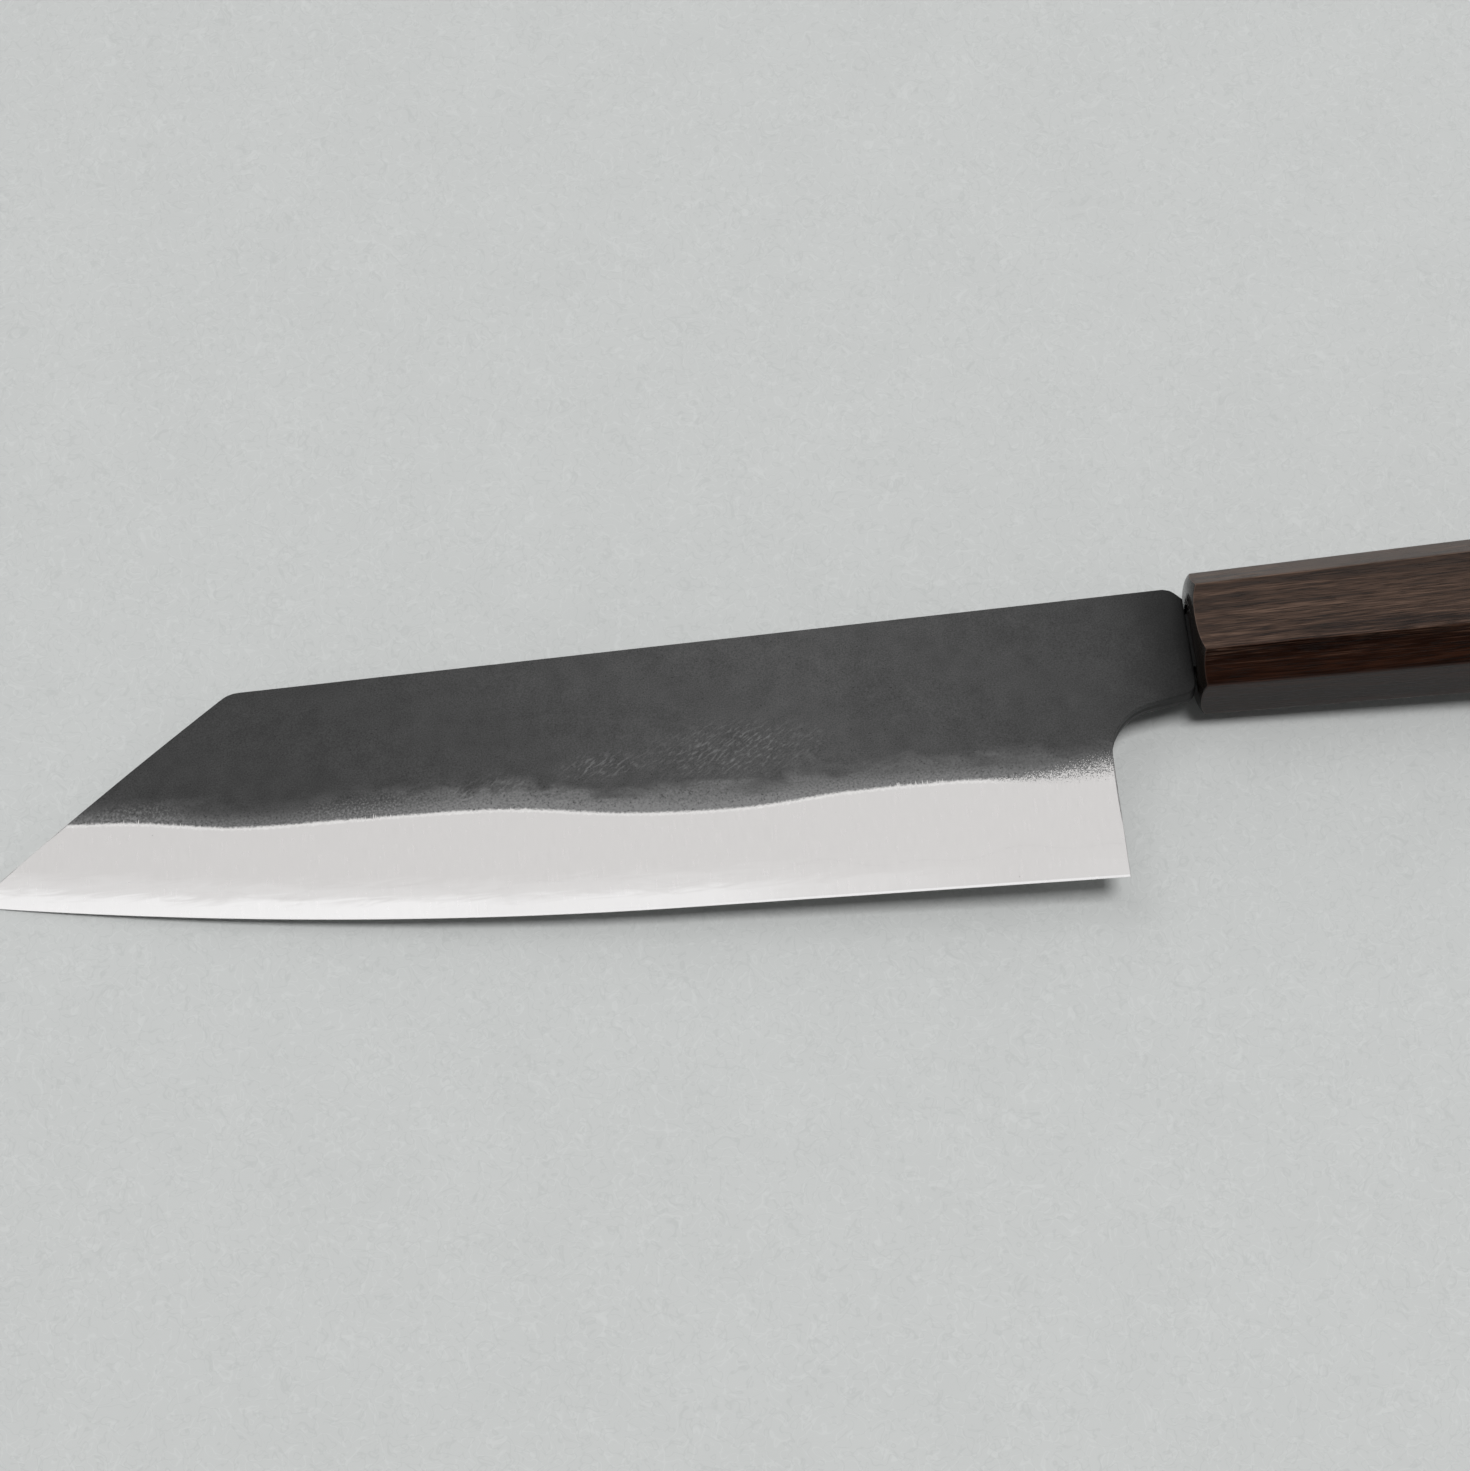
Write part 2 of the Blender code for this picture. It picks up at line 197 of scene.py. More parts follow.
world = bpy.data.worlds.new("pale_walls_dim_ceiling")
world.use_nodes = True
tree = world.node_tree
tree.nodes.clear()
way = node(tree, "TexCoord").outputs["Generated"]
way = node(tree, "SeparateXYZ", {"Vector": way})
wall_top = node(tree, "MapRange", {
    "Value": way.outputs["Y"], "From Min": -0.8, "From Max": -0.5, "To Min": 0.42, "To Max": 0.69})
rise = node(tree, "Math", {0: way.outputs["Z"], 1: wall_top}, operation="SUBTRACT")
upward = node(tree, "MapRange", {
    "Value": rise, "From Min": -0.18, "From Max": 0.0}, interpolation_type="SMOOTHSTEP")
colour = node(tree, "Mix", {"Factor": upward, "A": WALLS, "B": CEILING}, data_type="RGBA")
glow = node(tree, "Background", {"Color": colour, "Strength": 1.0})
node(tree, "OutputWorld", {"Surface": glow})
bpy.context.scene.world = world

for name, place, size, watts, switched_off in (
    ("softbox", (-0.2, 0.375, 1.0), (1.5, 0.85), 4.85, "visible_diffuse"),
    ("filtered_fill", (-0.5, 0.5, 1.0), (0.9, 0.8), 4.6, "visible_glossy"),
    ("filtered_lamp", (1.25, -0.70, 5.0), (2.0, 1.9), 200.0, "visible_glossy"),
):
    lamp = bpy.data.lights.new(name, "AREA")
    lamp.shape = "RECTANGLE"
    lamp.size, lamp.size_y = size
    lamp.energy = watts
    holder = bpy.data.objects.new(name, lamp)
    holder.location = place
    setattr(holder, switched_off, False)
    bpy.context.collection.objects.link(holder)
bpy.context.scene.view_settings.view_transform = "Standard"
print("lamps", [thing.name for thing in bpy.data.lights])

# %% [markdown]
# ## The lines of the blade
# A smith's blade is a set of lines: the edge, the grind line where the bevel begins, the spine,
# and the line where the core steel comes out from under the soft iron. Each is a function of x,
# and the thickness is a function of x and y, so the whole blade can be computed as arrays. The
# numbers are those of the CAD model.

# %% Outline of the blade
HEEL_X, TIP_X, CORNER_X, SHOULDER_X = -14.1, -184.1, -144.9, -0.2
HEEL_Y, EDGE_RISE, STRAIGHT_RUN, EDGE_RADIUS = -37.8, 0.0373, 65.0, 683.0
POINT_Y, NECK_Y, SPINE_RISE = 8.0, 9.15, 1.15
EDGE_THICKNESS = 0.2
NECK_THICKNESS, TANG_END_THICKNESS, TANG_LENGTH = 3.3, 2.2, 96.0
BEVEL_RUNS = np.array([0, 10, 24, 40, 54, 72, 89, 114, 131, 146, 158, 176.0])
BEVEL_WIDTHS = np.array([18.2, 17.1, 17.3, 16.8, 15.5, 15.8, 17.4, 16.3, 14.9, 15.2, 14.3, 13.4])


def edge_y(x):
    """Straight rise from the heel for 65 mm, then an arc of 683 mm radius up to the tip."""
    run = HEEL_X - x
    arc = np.maximum(run - STRAIGHT_RUN, 0.0)
    return HEEL_Y + EDGE_RISE * run + arc ** 2 / (2 * EDGE_RADIUS)


def bevel_width(x):
    """Smooth cubic between the measured widths, with slopes from their neighbours."""
    run = np.clip(HEEL_X - x, BEVEL_RUNS[0], BEVEL_RUNS[-1])
    slopes = np.gradient(BEVEL_WIDTHS, BEVEL_RUNS)
    i = np.clip(np.searchsorted(BEVEL_RUNS, run) - 1, 0, len(BEVEL_RUNS) - 2)
    span = BEVEL_RUNS[i + 1] - BEVEL_RUNS[i]
    t = (run - BEVEL_RUNS[i]) / span
    level = BEVEL_WIDTHS[i] * (1 + 2 * t) * (1 - t) ** 2
    level += BEVEL_WIDTHS[i + 1] * t ** 2 * (3 - 2 * t)
    lean = slopes[i] * t * (1 - t) ** 2 - slopes[i + 1] * t ** 2 * (1 - t)
    return level + span * lean


def grind_y(x):
    """Grind line: the bevel's width above the edge."""
    return edge_y(x) + bevel_width(x)


def spine_y(x):
    """Straight line from 8.0 at the slanted point to 9.15 at the neck."""
    return POINT_Y + (x - CORNER_X) / (SHOULDER_X - CORNER_X) * SPINE_RISE


CHAMFER_X, CHAMFER_RUN, CHAMFER_DROP, TOP_RADIUS = -2.1, 1.9, 2.0, 2.6


def shoulder_top(x):
    """Spine, then an arc of 2.6 mm that turns it into a 46 degree chamfer beside the handle."""
    slope = (NECK_Y - CHAMFER_DROP - spine_y(CHAMFER_X)) / CHAMFER_RUN
    start, end = atan(SPINE_RISE / (SHOULDER_X - CORNER_X)), atan(slope)
    reach = TOP_RADIUS * tan((start - end) / 2)
    first, last = CHAMFER_X - reach * cos(start), CHAMFER_X + reach * cos(end)
    centre_x, centre_y = first + TOP_RADIUS * sin(start), spine_y(first) - TOP_RADIUS * cos(start)
    arc = centre_y + np.sqrt(np.maximum(TOP_RADIUS ** 2 - (x - centre_x) ** 2, 0.0))
    chamfer = spine_y(CHAMFER_X) + slope * (x - CHAMFER_X)
    return np.where(x < first, spine_y(x), np.where(x < last, arc, chamfer))


CHOIL_RADIUS, LOW_RADIUS, NECK_SLOPE, NECK_LOW_Y = 8.2, 2.2, 0.17, -8.9
LEAN = hypot(1.0, NECK_SLOPE)
CHOIL_X, LOW_X = HEEL_X + CHOIL_RADIUS, SHOULDER_X - LOW_RADIUS


def neck_line(x):
    """Straight underside of the neck, rising to the handle."""
    return NECK_LOW_Y + NECK_SLOPE * (x - SHOULDER_X)


CHOIL_Y = neck_line(CHOIL_X) - CHOIL_RADIUS * LEAN
LOW_Y = neck_line(LOW_X) + LOW_RADIUS * LEAN


def neck_low(x):
    """Quarter round of the choil, the neck's line, then a small round into the shoulder."""
    choil = CHOIL_Y + np.sqrt(np.maximum(CHOIL_RADIUS ** 2 - (x - CHOIL_X) ** 2, 0.0))
    round_off = LOW_Y - np.sqrt(np.maximum(LOW_RADIUS ** 2 - (x - LOW_X) ** 2, 0.0))
    past_line = x > LOW_X + LOW_RADIUS * NECK_SLOPE / LEAN
    before_line = x < CHOIL_X - CHOIL_RADIUS * NECK_SLOPE / LEAN
    return np.where(before_line, choil, np.where(past_line, round_off, neck_line(x)))


TANG_HALF, TANG_TAPER, TANG_ROUND = 4.5, 2.3, 1.4


def tang_half_height(x):
    """Tang from 4.5 mm at the shoulder to 2.2 mm at its end, with corners of 1.4 mm."""
    taper = TANG_HALF - TANG_TAPER * (x - SHOULDER_X) / (TANG_LENGTH - SHOULDER_X)
    into = np.clip(x - (TANG_LENGTH - TANG_ROUND), 0.0, TANG_ROUND)
    return taper - TANG_ROUND + np.sqrt(TANG_ROUND ** 2 - into ** 2)


print("choil starts at y", round(float(CHOIL_Y), 2), "grind line at the heel",
      round(float(grind_y(HEEL_X)), 2))

# %% [markdown]
# The blade is thickest at the neck and thins towards the point and towards the edge. The core is a
# thin layer in the middle that the hammer has drawn out in soft waves. Where the ground bevel cuts
# down to it, it comes into sight.

# %% Thickness of the blade
DISTAL_TAPER, HEIGHT_TAPER, CORE_SHARE = 0.0110, 0.0128, 0.27
CORE_WAVES = ((0.10, 33.0, 0.4), (0.07, 14.5, 1.9))


def spine_half(x):
    """Half thickness at the spine: 1.65 mm at the neck, less by 0.0055 mm per mm to the tip."""
    blade = NECK_THICKNESS + DISTAL_TAPER * np.minimum(x, 0.0)
    tang = (TANG_END_THICKNESS - NECK_THICKNESS) * np.maximum(x, 0.0) / TANG_LENGTH
    return (blade + tang) / 2


def flat_half(x, y):
    """Half thickness of the black flat, less by 0.0128 mm for each mm below the spine."""
    return spine_half(x) - HEIGHT_TAPER * (NECK_Y - y)


def core_half(x):
    """27% of the spine's half thickness, times one plus two sine waves along the blade."""
    run = np.minimum(x, 0.0)
    wave = sum(size * np.sin(2 * pi * run / length + turn) for size, length, turn in CORE_WAVES)
    return CORE_SHARE * spine_half(x) * (1 + wave)


def bevel_half(x, y):
    """Half thickness of the ground bevel: a straight line from the edge to the grind line."""
    low, high = edge_y(x), grind_y(x)
    slope = (flat_half(x, high) - EDGE_THICKNESS / 2) / (high - low)
    return EDGE_THICKNESS / 2 + slope * (y - low)


def clad_y(x):
    """Height at which the bevel is as thick as the core."""
    low, high = edge_y(x), grind_y(x)
    share = (core_half(x) - EDGE_THICKNESS / 2) / (flat_half(x, high) - EDGE_THICKNESS / 2)
    return low + share * (high - low)


stations = np.array([-30.0, -80.0, -130.0])
print("bevel widths", bevel_width(stations).round(1), "core shows for",
      (clad_y(stations) - edge_y(stations)).round(1), "mm")

# %% [markdown]
# ## One grid for the whole blade
# Three closed pieces share one grid of points in the blade's plane. Its rows follow the lines of
# the blade, from the edge through the clad line and the grind line up to the spine. Its columns
# lean like the slanted point at the tip and stand upright from the middle of the blade on. So
# every line that the eye can follow is a row or a column, and no line is a staircase. A point's
# lean depends on its height and its height on its x, so the two are worked out in turn until they
# settle.

# %% Rows and columns
shoulder_low, shoulder_high = float(LOW_Y), float(shoulder_top(SHOULDER_X))
tang_low = (-TANG_HALF - shoulder_low) / (shoulder_high - shoulder_low)
tang_high = (TANG_HALF - shoulder_low) / (shoulder_high - shoulder_low)
rim_shares = np.array([0.0, 0.003, 0.008, 0.016, 0.03])
row_shares = (
    np.array([0.0, 0.06, 0.14, 0.3, 0.5, 0.75]),
    np.concatenate((np.linspace(0.0, 0.98, 15), [0.99])),
    np.array([0.0, 0.1, 0.25, 0.5, 0.75]),
    np.concatenate((
        rim_shares, np.linspace(0.05, tang_low, 6), np.linspace(tang_low, tang_high, 31)[1:],
        np.linspace(tang_high, 0.95, 6)[1:], 1 - rim_shares[::-1],
    )),
)
band = np.repeat(np.arange(4), [len(shares) for shares in row_shares])
share = np.concatenate(row_shares)
first_upper = int(np.argmax(band == 3))
row_tang_low = first_upper + int(np.argmin(abs(row_shares[3] - tang_low)))
row_tang_high = first_upper + int(np.argmin(abs(row_shares[3] - tang_high)))


def band_lines(x):
    """Edge, clad line, grind line, foot of the choil, and spine, each at every x."""
    foot = grind_y(x) + CHOIL_Y - grind_y(HEEL_X)
    return np.stack((edge_y(x), clad_y(x), grind_y(x), foot, spine_y(x)))


def row_y(x):
    """Height of each row at x: a share of the way between the two lines of its band."""
    lines = band_lines(x)
    rows = np.arange(len(band))
    low, high = lines[band, :, rows].T, lines[band + 1, :, rows].T
    return low + share * (high - low)


def smooth(t):
    """Smooth step from 0 to 1: 3 t squared less 2 t cubed, with t held between 0 and 1."""
    t = np.clip(t, 0.0, 1.0)
    return t * t * (3 - 2 * t)


COLUMN_STEP, LEANING_LENGTH, POINT_BOW, LEANING_ROUNDS = 0.8, 120.0, 0.72, 40
rim_steps = np.array([0.0, 0.05, 0.12, 0.25, 0.5])
foot_x = np.concatenate((
    TIP_X + 2 * COLUMN_STEP * rim_steps,
    np.arange(TIP_X + 2 * COLUMN_STEP, HEEL_X - 0.9, COLUMN_STEP),
    HEEL_X - rim_steps[::-1],
))[:, None]
upright = smooth((foot_x - TIP_X) / LEANING_LENGTH)
lean_run = (CORNER_X - TIP_X) * (1 - upright)
foot_y = edge_y(foot_x)
head_y = spine_y(foot_x + lean_run)
blade_x = np.repeat(foot_x, len(band), axis=1)
for _ in range(LEANING_ROUNDS):
    blade_y = row_y(blade_x)
    rise = (blade_y - foot_y) / (head_y - foot_y)
    bow = POINT_BOW * 4 * rise * (1 - rise) * (1 - upright) ** 6
    blade_x = foot_x + lean_run * rise - bow
blade_x[-1] = HEEL_X

choil_turn = np.linspace(0.0, pi / 2 - atan(NECK_SLOPE), 18)[1:]
low_turn = np.linspace(atan(NECK_SLOPE), pi / 2, 10)
neck_x = np.concatenate((
    CHOIL_X - CHOIL_RADIUS * np.cos(choil_turn),
    np.arange(CHOIL_X - 1.0, LOW_X, 0.5),
    LOW_X + LOW_RADIUS * np.sin(low_turn),
))[:, None]
neck_share = np.where(band == 3, share, 0.0)
neck_y = neck_low(neck_x) + neck_share * (shoulder_top(neck_x) - neck_low(neck_x))

end_turn = np.linspace(0.0, pi / 2, 8)
tang_x = np.concatenate((
    np.linspace(SHOULDER_X, TANG_LENGTH - TANG_ROUND, 24)[1:-1],
    TANG_LENGTH - TANG_ROUND + TANG_ROUND * np.sin(end_turn),
))[:, None]
across = np.clip((neck_share - tang_low) / (tang_high - tang_low), 0.0, 1.0)
tang_y = tang_half_height(tang_x) * (2 * across - 1)

grid_x = np.concatenate((blade_x, np.repeat(np.concatenate((neck_x, tang_x)), len(band), 1)))
grid_y = np.concatenate((blade_y, neck_y, tang_y))
heel_column = len(blade_x) - 1
shoulder_column = heel_column + len(neck_x)
column = np.arange(len(grid_x) - 1)[:, None]
row = np.arange(len(band) - 1)[None, :]
whole_blade = (
    (column < heel_column)
    | ((column < shoulder_column) & (row >= first_upper))
    | ((row >= row_tang_low) & (row < row_tang_high))
)
above_clad_line = whole_blade & (band[:-1] >= 1)[None, :]
print("grid", grid_x.shape, "cells", int(whole_blade.sum()))

# %% [markdown]
# ## A closed plate from a grid
# A plate has a front sheet, a back sheet and a rim round its outline. The rim stands wherever a
# cell has no neighbour. All the faces come out of the grid's own numbering, so no loop goes over
# points.

# %% Plate maker


def add_piece(name, points, faces, values=None):
    """Mesh object from arrays of points and faces, with one number per point for each value."""
    used, places = np.unique(faces, return_inverse=True)
    mesh = bpy.data.meshes.new(name)
    mesh.from_pydata(points[used].tolist(), [], places.reshape(faces.shape).tolist())
    for title, numbers in (values or {}).items():
        layer = mesh.attributes.new(title, "FLOAT", "POINT")
        layer.data.foreach_set("value", numbers[used].astype(np.float32))
    bm = bmesh.new()
    bm.from_mesh(mesh)
    bmesh.ops.remove_doubles(bm, verts=bm.verts, dist=1e-6)
    open_edges = sum(not edge.is_manifold for edge in bm.edges)
    print(name, len(bm.faces), "faces,", open_edges, "open edges, volume in mm3",
          round(bm.calc_volume(signed=True) * 1e9, 1))
    bm.to_mesh(mesh)
    bm.free()
    piece = bpy.data.objects.new(name, mesh)
    bpy.context.collection.objects.link(piece)
    return piece


def plate_faces(present):
    """Front quads, back quads the other way round, and a rim quad beside each missing cell."""
    shape = (present.shape[0] + 1, present.shape[1] + 1)
    index = np.arange(shape[0] * shape[1]).reshape(shape)
    back = index.size
    a, b, c, d = index[:-1, :-1], index[1:, :-1], index[1:, 1:], index[:-1, 1:]
    front = np.stack((a, b, c, d), axis=-1)[present]
    faces = [front, front[:, ::-1] + back]
    padded = np.pad(present, 1)
    sides = (
        (a, b, padded[1:-1, :-2]), (b, c, padded[2:, 1:-1]),
        (c, d, padded[1:-1, 2:]), (d, a, padded[:-2, 1:-1]),
    )
    for start, end, neighbour in sides:
        bare = present & ~neighbour
        p, q = start[bare], end[bare]
        faces.append(np.stack((q, p, p + back, q + back), axis=-1))
    return np.concatenate(faces)


def plate(name, present, front, back, values):
    """Closed plate between two heights over the blade's grid."""
    points = np.concatenate((
        laid(grid_x, grid_y, front).reshape(-1, 3), laid(grid_x, grid_y, back).reshape(-1, 3),
    ))
    doubled = {title: np.tile(numbers.ravel(), 2) for title, numbers in values.items()}
    return add_piece(name, points, plate_faces(present), doubled)


# %% [markdown]
# The spine, the slanted point and the neck have softly broken edges, which catch a thin light.
# They need each point's distance from the outline. The hammered flat also rises and falls by a few
# hundredths of a millimetre, which bends its reflections.

# %% Distance from the outline and the hammered relief
HEEL_POINTS = 9
outline_x = np.concatenate((
    blade_x[0], blade_x[:, -1], neck_x[:, 0], neck_x[::-1, 0], np.full(HEEL_POINTS, HEEL_X),
))
outline_y = np.concatenate((
    blade_y[0], blade_y[:, -1], neck_y[:, -1], neck_y[::-1, 0],
    np.linspace(float(CHOIL_Y), float(edge_y(HEEL_X)), HEEL_POINTS),
))
start = np.stack((outline_x[:-1], outline_y[:-1]), -1)
step = np.stack((outline_x[1:], outline_y[1:]), -1) - start
step_length = np.maximum((step ** 2).sum(-1), 1e-12)
points = np.stack((grid_x, grid_y), -1).reshape(-1, 1, 2)
along = np.clip(((points - start) * step).sum(-1) / step_length, 0.0, 1.0)
from_rim = np.sqrt((((points - start) - along[..., None] * step) ** 2).sum(-1)).min(1)
from_rim = from_rim.reshape(grid_x.shape)


def eased(distance, radius):
    """Depth of a quarter round of that radius at a distance from the edge."""
    inside = np.clip(1 - distance / np.maximum(radius, 1e-6), 0.0, 1.0)
    return radius * (1 - np.sqrt(1 - inside ** 2))


LATTICE = 400


def ripple(x, y, length, seed):
    """Soft bumps: random heights on a square lattice, blended smoothly between its points."""
    heights = np.random.default_rng(seed).uniform(-1, 1, (LATTICE, LATTICE))
    u, v = (x + LATTICE) / length, (y + LATTICE) / length
    i, j = np.floor(u).astype(int) % (LATTICE - 1), np.floor(v).astype(int) % (LATTICE - 1)
    a, b = smooth(u - np.floor(u)), smooth(v - np.floor(v))
    low = heights[i, j] * (1 - a) + heights[i + 1, j] * a
    high = heights[i, j + 1] * (1 - a) + heights[i + 1, j + 1] * a
    return low * (1 - b) + high * b


POINT_HEIGHT, SPINE_RUN = 31.4, 144.7


def softened_corner(x, y, radius=4.0):
    """Pull the point's corner in: by (reach - distance) squared over twice the radius."""
    slant, along_spine = atan(POINT_HEIGHT / (CORNER_X - TIP_X)), atan(SPINE_RISE / SPINE_RUN)
    half_turn = (slant - along_spine) / 2
    reach = radius * tan(half_turn)
    left = np.maximum(reach - np.hypot(x - CORNER_X, y - POINT_Y), 0.0)
    pull = left ** 2 / (2 * radius) / cos(half_turn)
    return x + pull * sin((slant + along_spine) / 2), y - pull * cos((slant + along_spine) / 2)


grid_x, grid_y = softened_corner(grid_x, grid_y)
above_grind = grid_y - grind_y(grid_x)
above_edge = grid_y - edge_y(grid_x)
HAMMER_MARKS, FADE = ((0.030, 9.0, 3), (0.012, 3.4, 5)), 4.0
relief = smooth(above_grind / FADE) * sum(
    depth * ripple(grid_x, grid_y, length, seed) for depth, length, seed in HAMMER_MARKS)
print("relief in mm", float(relief.min().round(3)), "to", float(relief.max().round(3)))

# %% [markdown]
# ## Soft iron claddings
# Each side of the blade is a layer of soft iron. It is at full thickness on the black flat, runs
# out to nothing where the bevel reaches the core, and lies against the core inside. On the table
# the left side is up. The right side is its mirror image. Two numbers for the finish go with the
# points: how much the scale was brushed, and how much brighter than the iron the core is painted
# along the blade, partly for its finer polish and partly as painted reflection.

# %% Claddings
BRUSHED_X = (-150.0, -125.0, -108.0, -95.0, -70.0, -50.0, -20.0, -8.0)
BRUSHED = (0.2, 0.3, 0.9, 1.0, 1.0, 0.6, 0.5, 0.0)
# Partly painted reflection: how much brighter the core band is painted at each x.
SHINE_X = (-120.0, -105.0, -90.0, -75.0, -61.0, -46.0, -31.0, -14.0)
SHINE = (1.0, 0.8, 0.82, 0.75, 0.34, 0.2, 0.0, 0.1)
BROKEN_EDGE = 0.22
inner_half = core_half(grid_x)
outer_half = np.minimum(flat_half(grid_x, grid_y), bevel_half(grid_x, grid_y))
outer_half = np.where(grid_x > HEEL_X, flat_half(grid_x, grid_y), outer_half)
iron_depth = np.maximum(outer_half - inner_half, 0.0)
softened = outer_half - eased(from_rim, np.minimum(BROKEN_EDGE, iron_depth / 2)) + relief
finish_values = {
    "above_grind": above_grind, "above_edge": above_edge,
    "brushed": np.interp(grid_x, BRUSHED_X, BRUSHED),
    "core_shine": np.interp(grid_x, SHINE_X, SHINE),
}
on_clad_line = np.arange(len(band)) <= int(np.argmax(band == 1))
iron_half = np.where(on_clad_line, inner_half, np.maximum(softened, inner_half))
cladding_left = plate("cladding_left", above_clad_line, iron_half, inner_half, finish_values)
cladding_right = plate("cladding_right", above_clad_line, -inner_half, -iron_half, finish_values)

# %% [markdown]
# ## Core steel
# The core runs through the whole blade and the tang. It fills the weld, and below the clad line it
# is the bevel itself, which ends in a narrower second bevel at the very edge.

# %% Core
EDGE_HALF, LAST_BEVEL, WELD_GAP, CORE_BROKEN_EDGE = 0.06, 0.4, 0.006, 0.05
bare_half = bevel_half(grid_x, grid_y)
last_bevel = smooth((grid_y - edge_y(grid_x)) / LAST_BEVEL)
bare_half = EDGE_HALF + (bare_half - EDGE_HALF) * last_bevel
steel_half = np.minimum(inner_half - WELD_GAP, bare_half)
steel_half = np.where(grid_x > HEEL_X, inner_half - WELD_GAP, steel_half)
steel_half = steel_half - eased(from_rim, np.minimum(CORE_BROKEN_EDGE, 0.3 * steel_half))
core = plate("core", whole_blade, steel_half, -steel_half, finish_values)

# %% [markdown]
# ## Handle
# The handle is an octagonal bar that grows evenly towards the butt. Its ends are turned like a
# nut: a flat disc, then a rounding that cuts scallops into the eight facets. Each of the piece's
# rows is one closed loop round the axis. A loop starts in the bore, comes out at the front face,
# goes over the rounding to the scallops, along the facets, and over the other rounding to the
# butt. The loops next to the scallops follow them exactly, so that line is as crisp as on the real
# handle.

# %% Section of the handle
HANDLE_LENGTH, BORE_DEPTH = 130.0, 100.2
FRONT_HEIGHT, FRONT_DEPTH, FRONT_CORNER = 19.6, 16.4, 4.2
HEIGHT_GROWTH, DEPTH_GROWTH, CORNER_GROWTH, CORNER_LEAN = 5.1, 3.8, 1.1, 0.918
STRETCH = FRONT_HEIGHT / FRONT_DEPTH
ROUNDING = 4.0
TANG_SLOT, DOWEL_WALL, FRONT_RING = (4.7, 1.85), 0.95, 0.55
BORE_RADIUS = hypot(*TANG_SLOT) + DOWEL_WALL
FRONT_FLAT, BUTT_FLAT = BORE_RADIUS + FRONT_RING, 8.4
FACET_POINTS, WORN_EDGE = 14, 0.3


def section(x):
    """Octagon at each x, for all of its points at once.

    A facet runs from corner to corner. Its points stop 0.3 mm short of them, and the rounded edge
    between two facets is a quadratic curve with its middle point at the corner.
    """
    grow = np.asarray(x, float)[..., None] / HANDLE_LENGTH
    y = (FRONT_HEIGHT + grow * HEIGHT_GROWTH) / 2
    z = (FRONT_DEPTH + grow * DEPTH_GROWTH) / 2
    corner = FRONT_CORNER + grow * CORNER_GROWTH
    side, spine = y - corner, z - corner * CORNER_LEAN
    corner_y = np.concatenate((y, side, -side, -y, -y, -side, side, y), axis=-1)
    corner_z = np.concatenate((spine, z, z, spine, -spine, -z, -z, -spine), axis=-1)
    here = np.stack((corner_y, corner_z), axis=-1)
    ahead = np.roll(here, -1, axis=-2)
    way = ahead - here
    length = np.sqrt((way ** 2).sum(-1, keepdims=True))
    leave, arrive = here + WORN_EDGE * way / length, ahead - WORN_EDGE * way / length
    t = np.linspace(0, 1, FACET_POINTS)[:, None]
    flat = leave[..., None, :] + t * (arrive - leave)[..., None, :]
    t = np.array([0.25, 0.5, 0.75])[:, None]
    next_leave = np.roll(leave, -1, axis=-2)
    bend = ((1 - t) ** 2 * arrive[..., None, :] + 2 * t * (1 - t) * ahead[..., None, :]
            + t ** 2 * next_leave[..., None, :])
    return np.concatenate((flat, bend), axis=-2).reshape(*flat.shape[:-3], -1, 2)


def section_at(x):
    """Section points where every point has its own x."""
    start, end = section(np.array(0.0)), section(np.array(HANDLE_LENGTH))
    return start + (x / HANDLE_LENGTH)[..., None] * (end - start)


def stretched_radius(points):
    """Distance from the axis, with the height divided by the stretch of the turned ends."""
    return np.hypot(points[..., 0] / STRETCH, points[..., 1])


around = len(section(np.array(0.0)))
print("points round the handle", around)

# %% [markdown]
# Where the rounding meets a facet follows from the radius there: the rounding reaches that radius
# after turning by an angle whose sine is the radius beyond the flat over 4 mm. The handle is wider
# further in, so x and angle are worked out in turn. The line where both meet is a little worn.

# %% Handle surface
SETTLING_ROUNDS = 6


def scallop(flat, face_x, direction):
    """Angle of the rounding and x at which it meets the octagon, for each point round it."""
    x = np.full(around, face_x)
    for _ in range(SETTLING_ROUNDS):
        beyond = stretched_radius(section_at(x)) - flat
        angle = np.arcsin(np.clip(beyond / ROUNDING, 0.0, 1.0))
        x = face_x + direction * ROUNDING * (1 - np.cos(angle))
    return angle, x


def rounding_rows(flat, face_x, direction, shares):
    """Loops over one end, at shares of the angle up to the scallop."""
    angle, x = scallop(flat, face_x, direction)
    turn = shares[:, None] * angle
    radius = flat + ROUNDING * np.sin(turn)
    outer = section_at(x)
    points = outer * (radius / stretched_radius(outer))[..., None]
    return face_x + direction * ROUNDING * (1 - np.cos(turn)), points


front_x = scallop(FRONT_FLAT, 0.0, 1)[1]
butt_x = scallop(BUTT_FLAT, HANDLE_LENGTH, -1)[1]
end_shares = np.array([0.0, 0.04, 0.12, 0.22, 0.34, 0.46, 0.58, 0.7, 0.82, 0.91, 0.97])
front_end = rounding_rows(FRONT_FLAT, 0.0, 1, end_shares)
butt_end = rounding_rows(BUTT_FLAT, HANDLE_LENGTH, -1, end_shares[::-1])

side_shares = np.concatenate((
    [0.0, 0.0008, 0.002, 0.005, 0.012], np.linspace(0.025, 0.975, 60),
    [0.988, 0.995, 0.998, 0.9992, 1.0],
))[:, None]
side_x = front_x + side_shares * (butt_x - front_x)
side = section_at(side_x)
WORN_DOWN = 0.9965
side[[0, -1]] *= WORN_DOWN

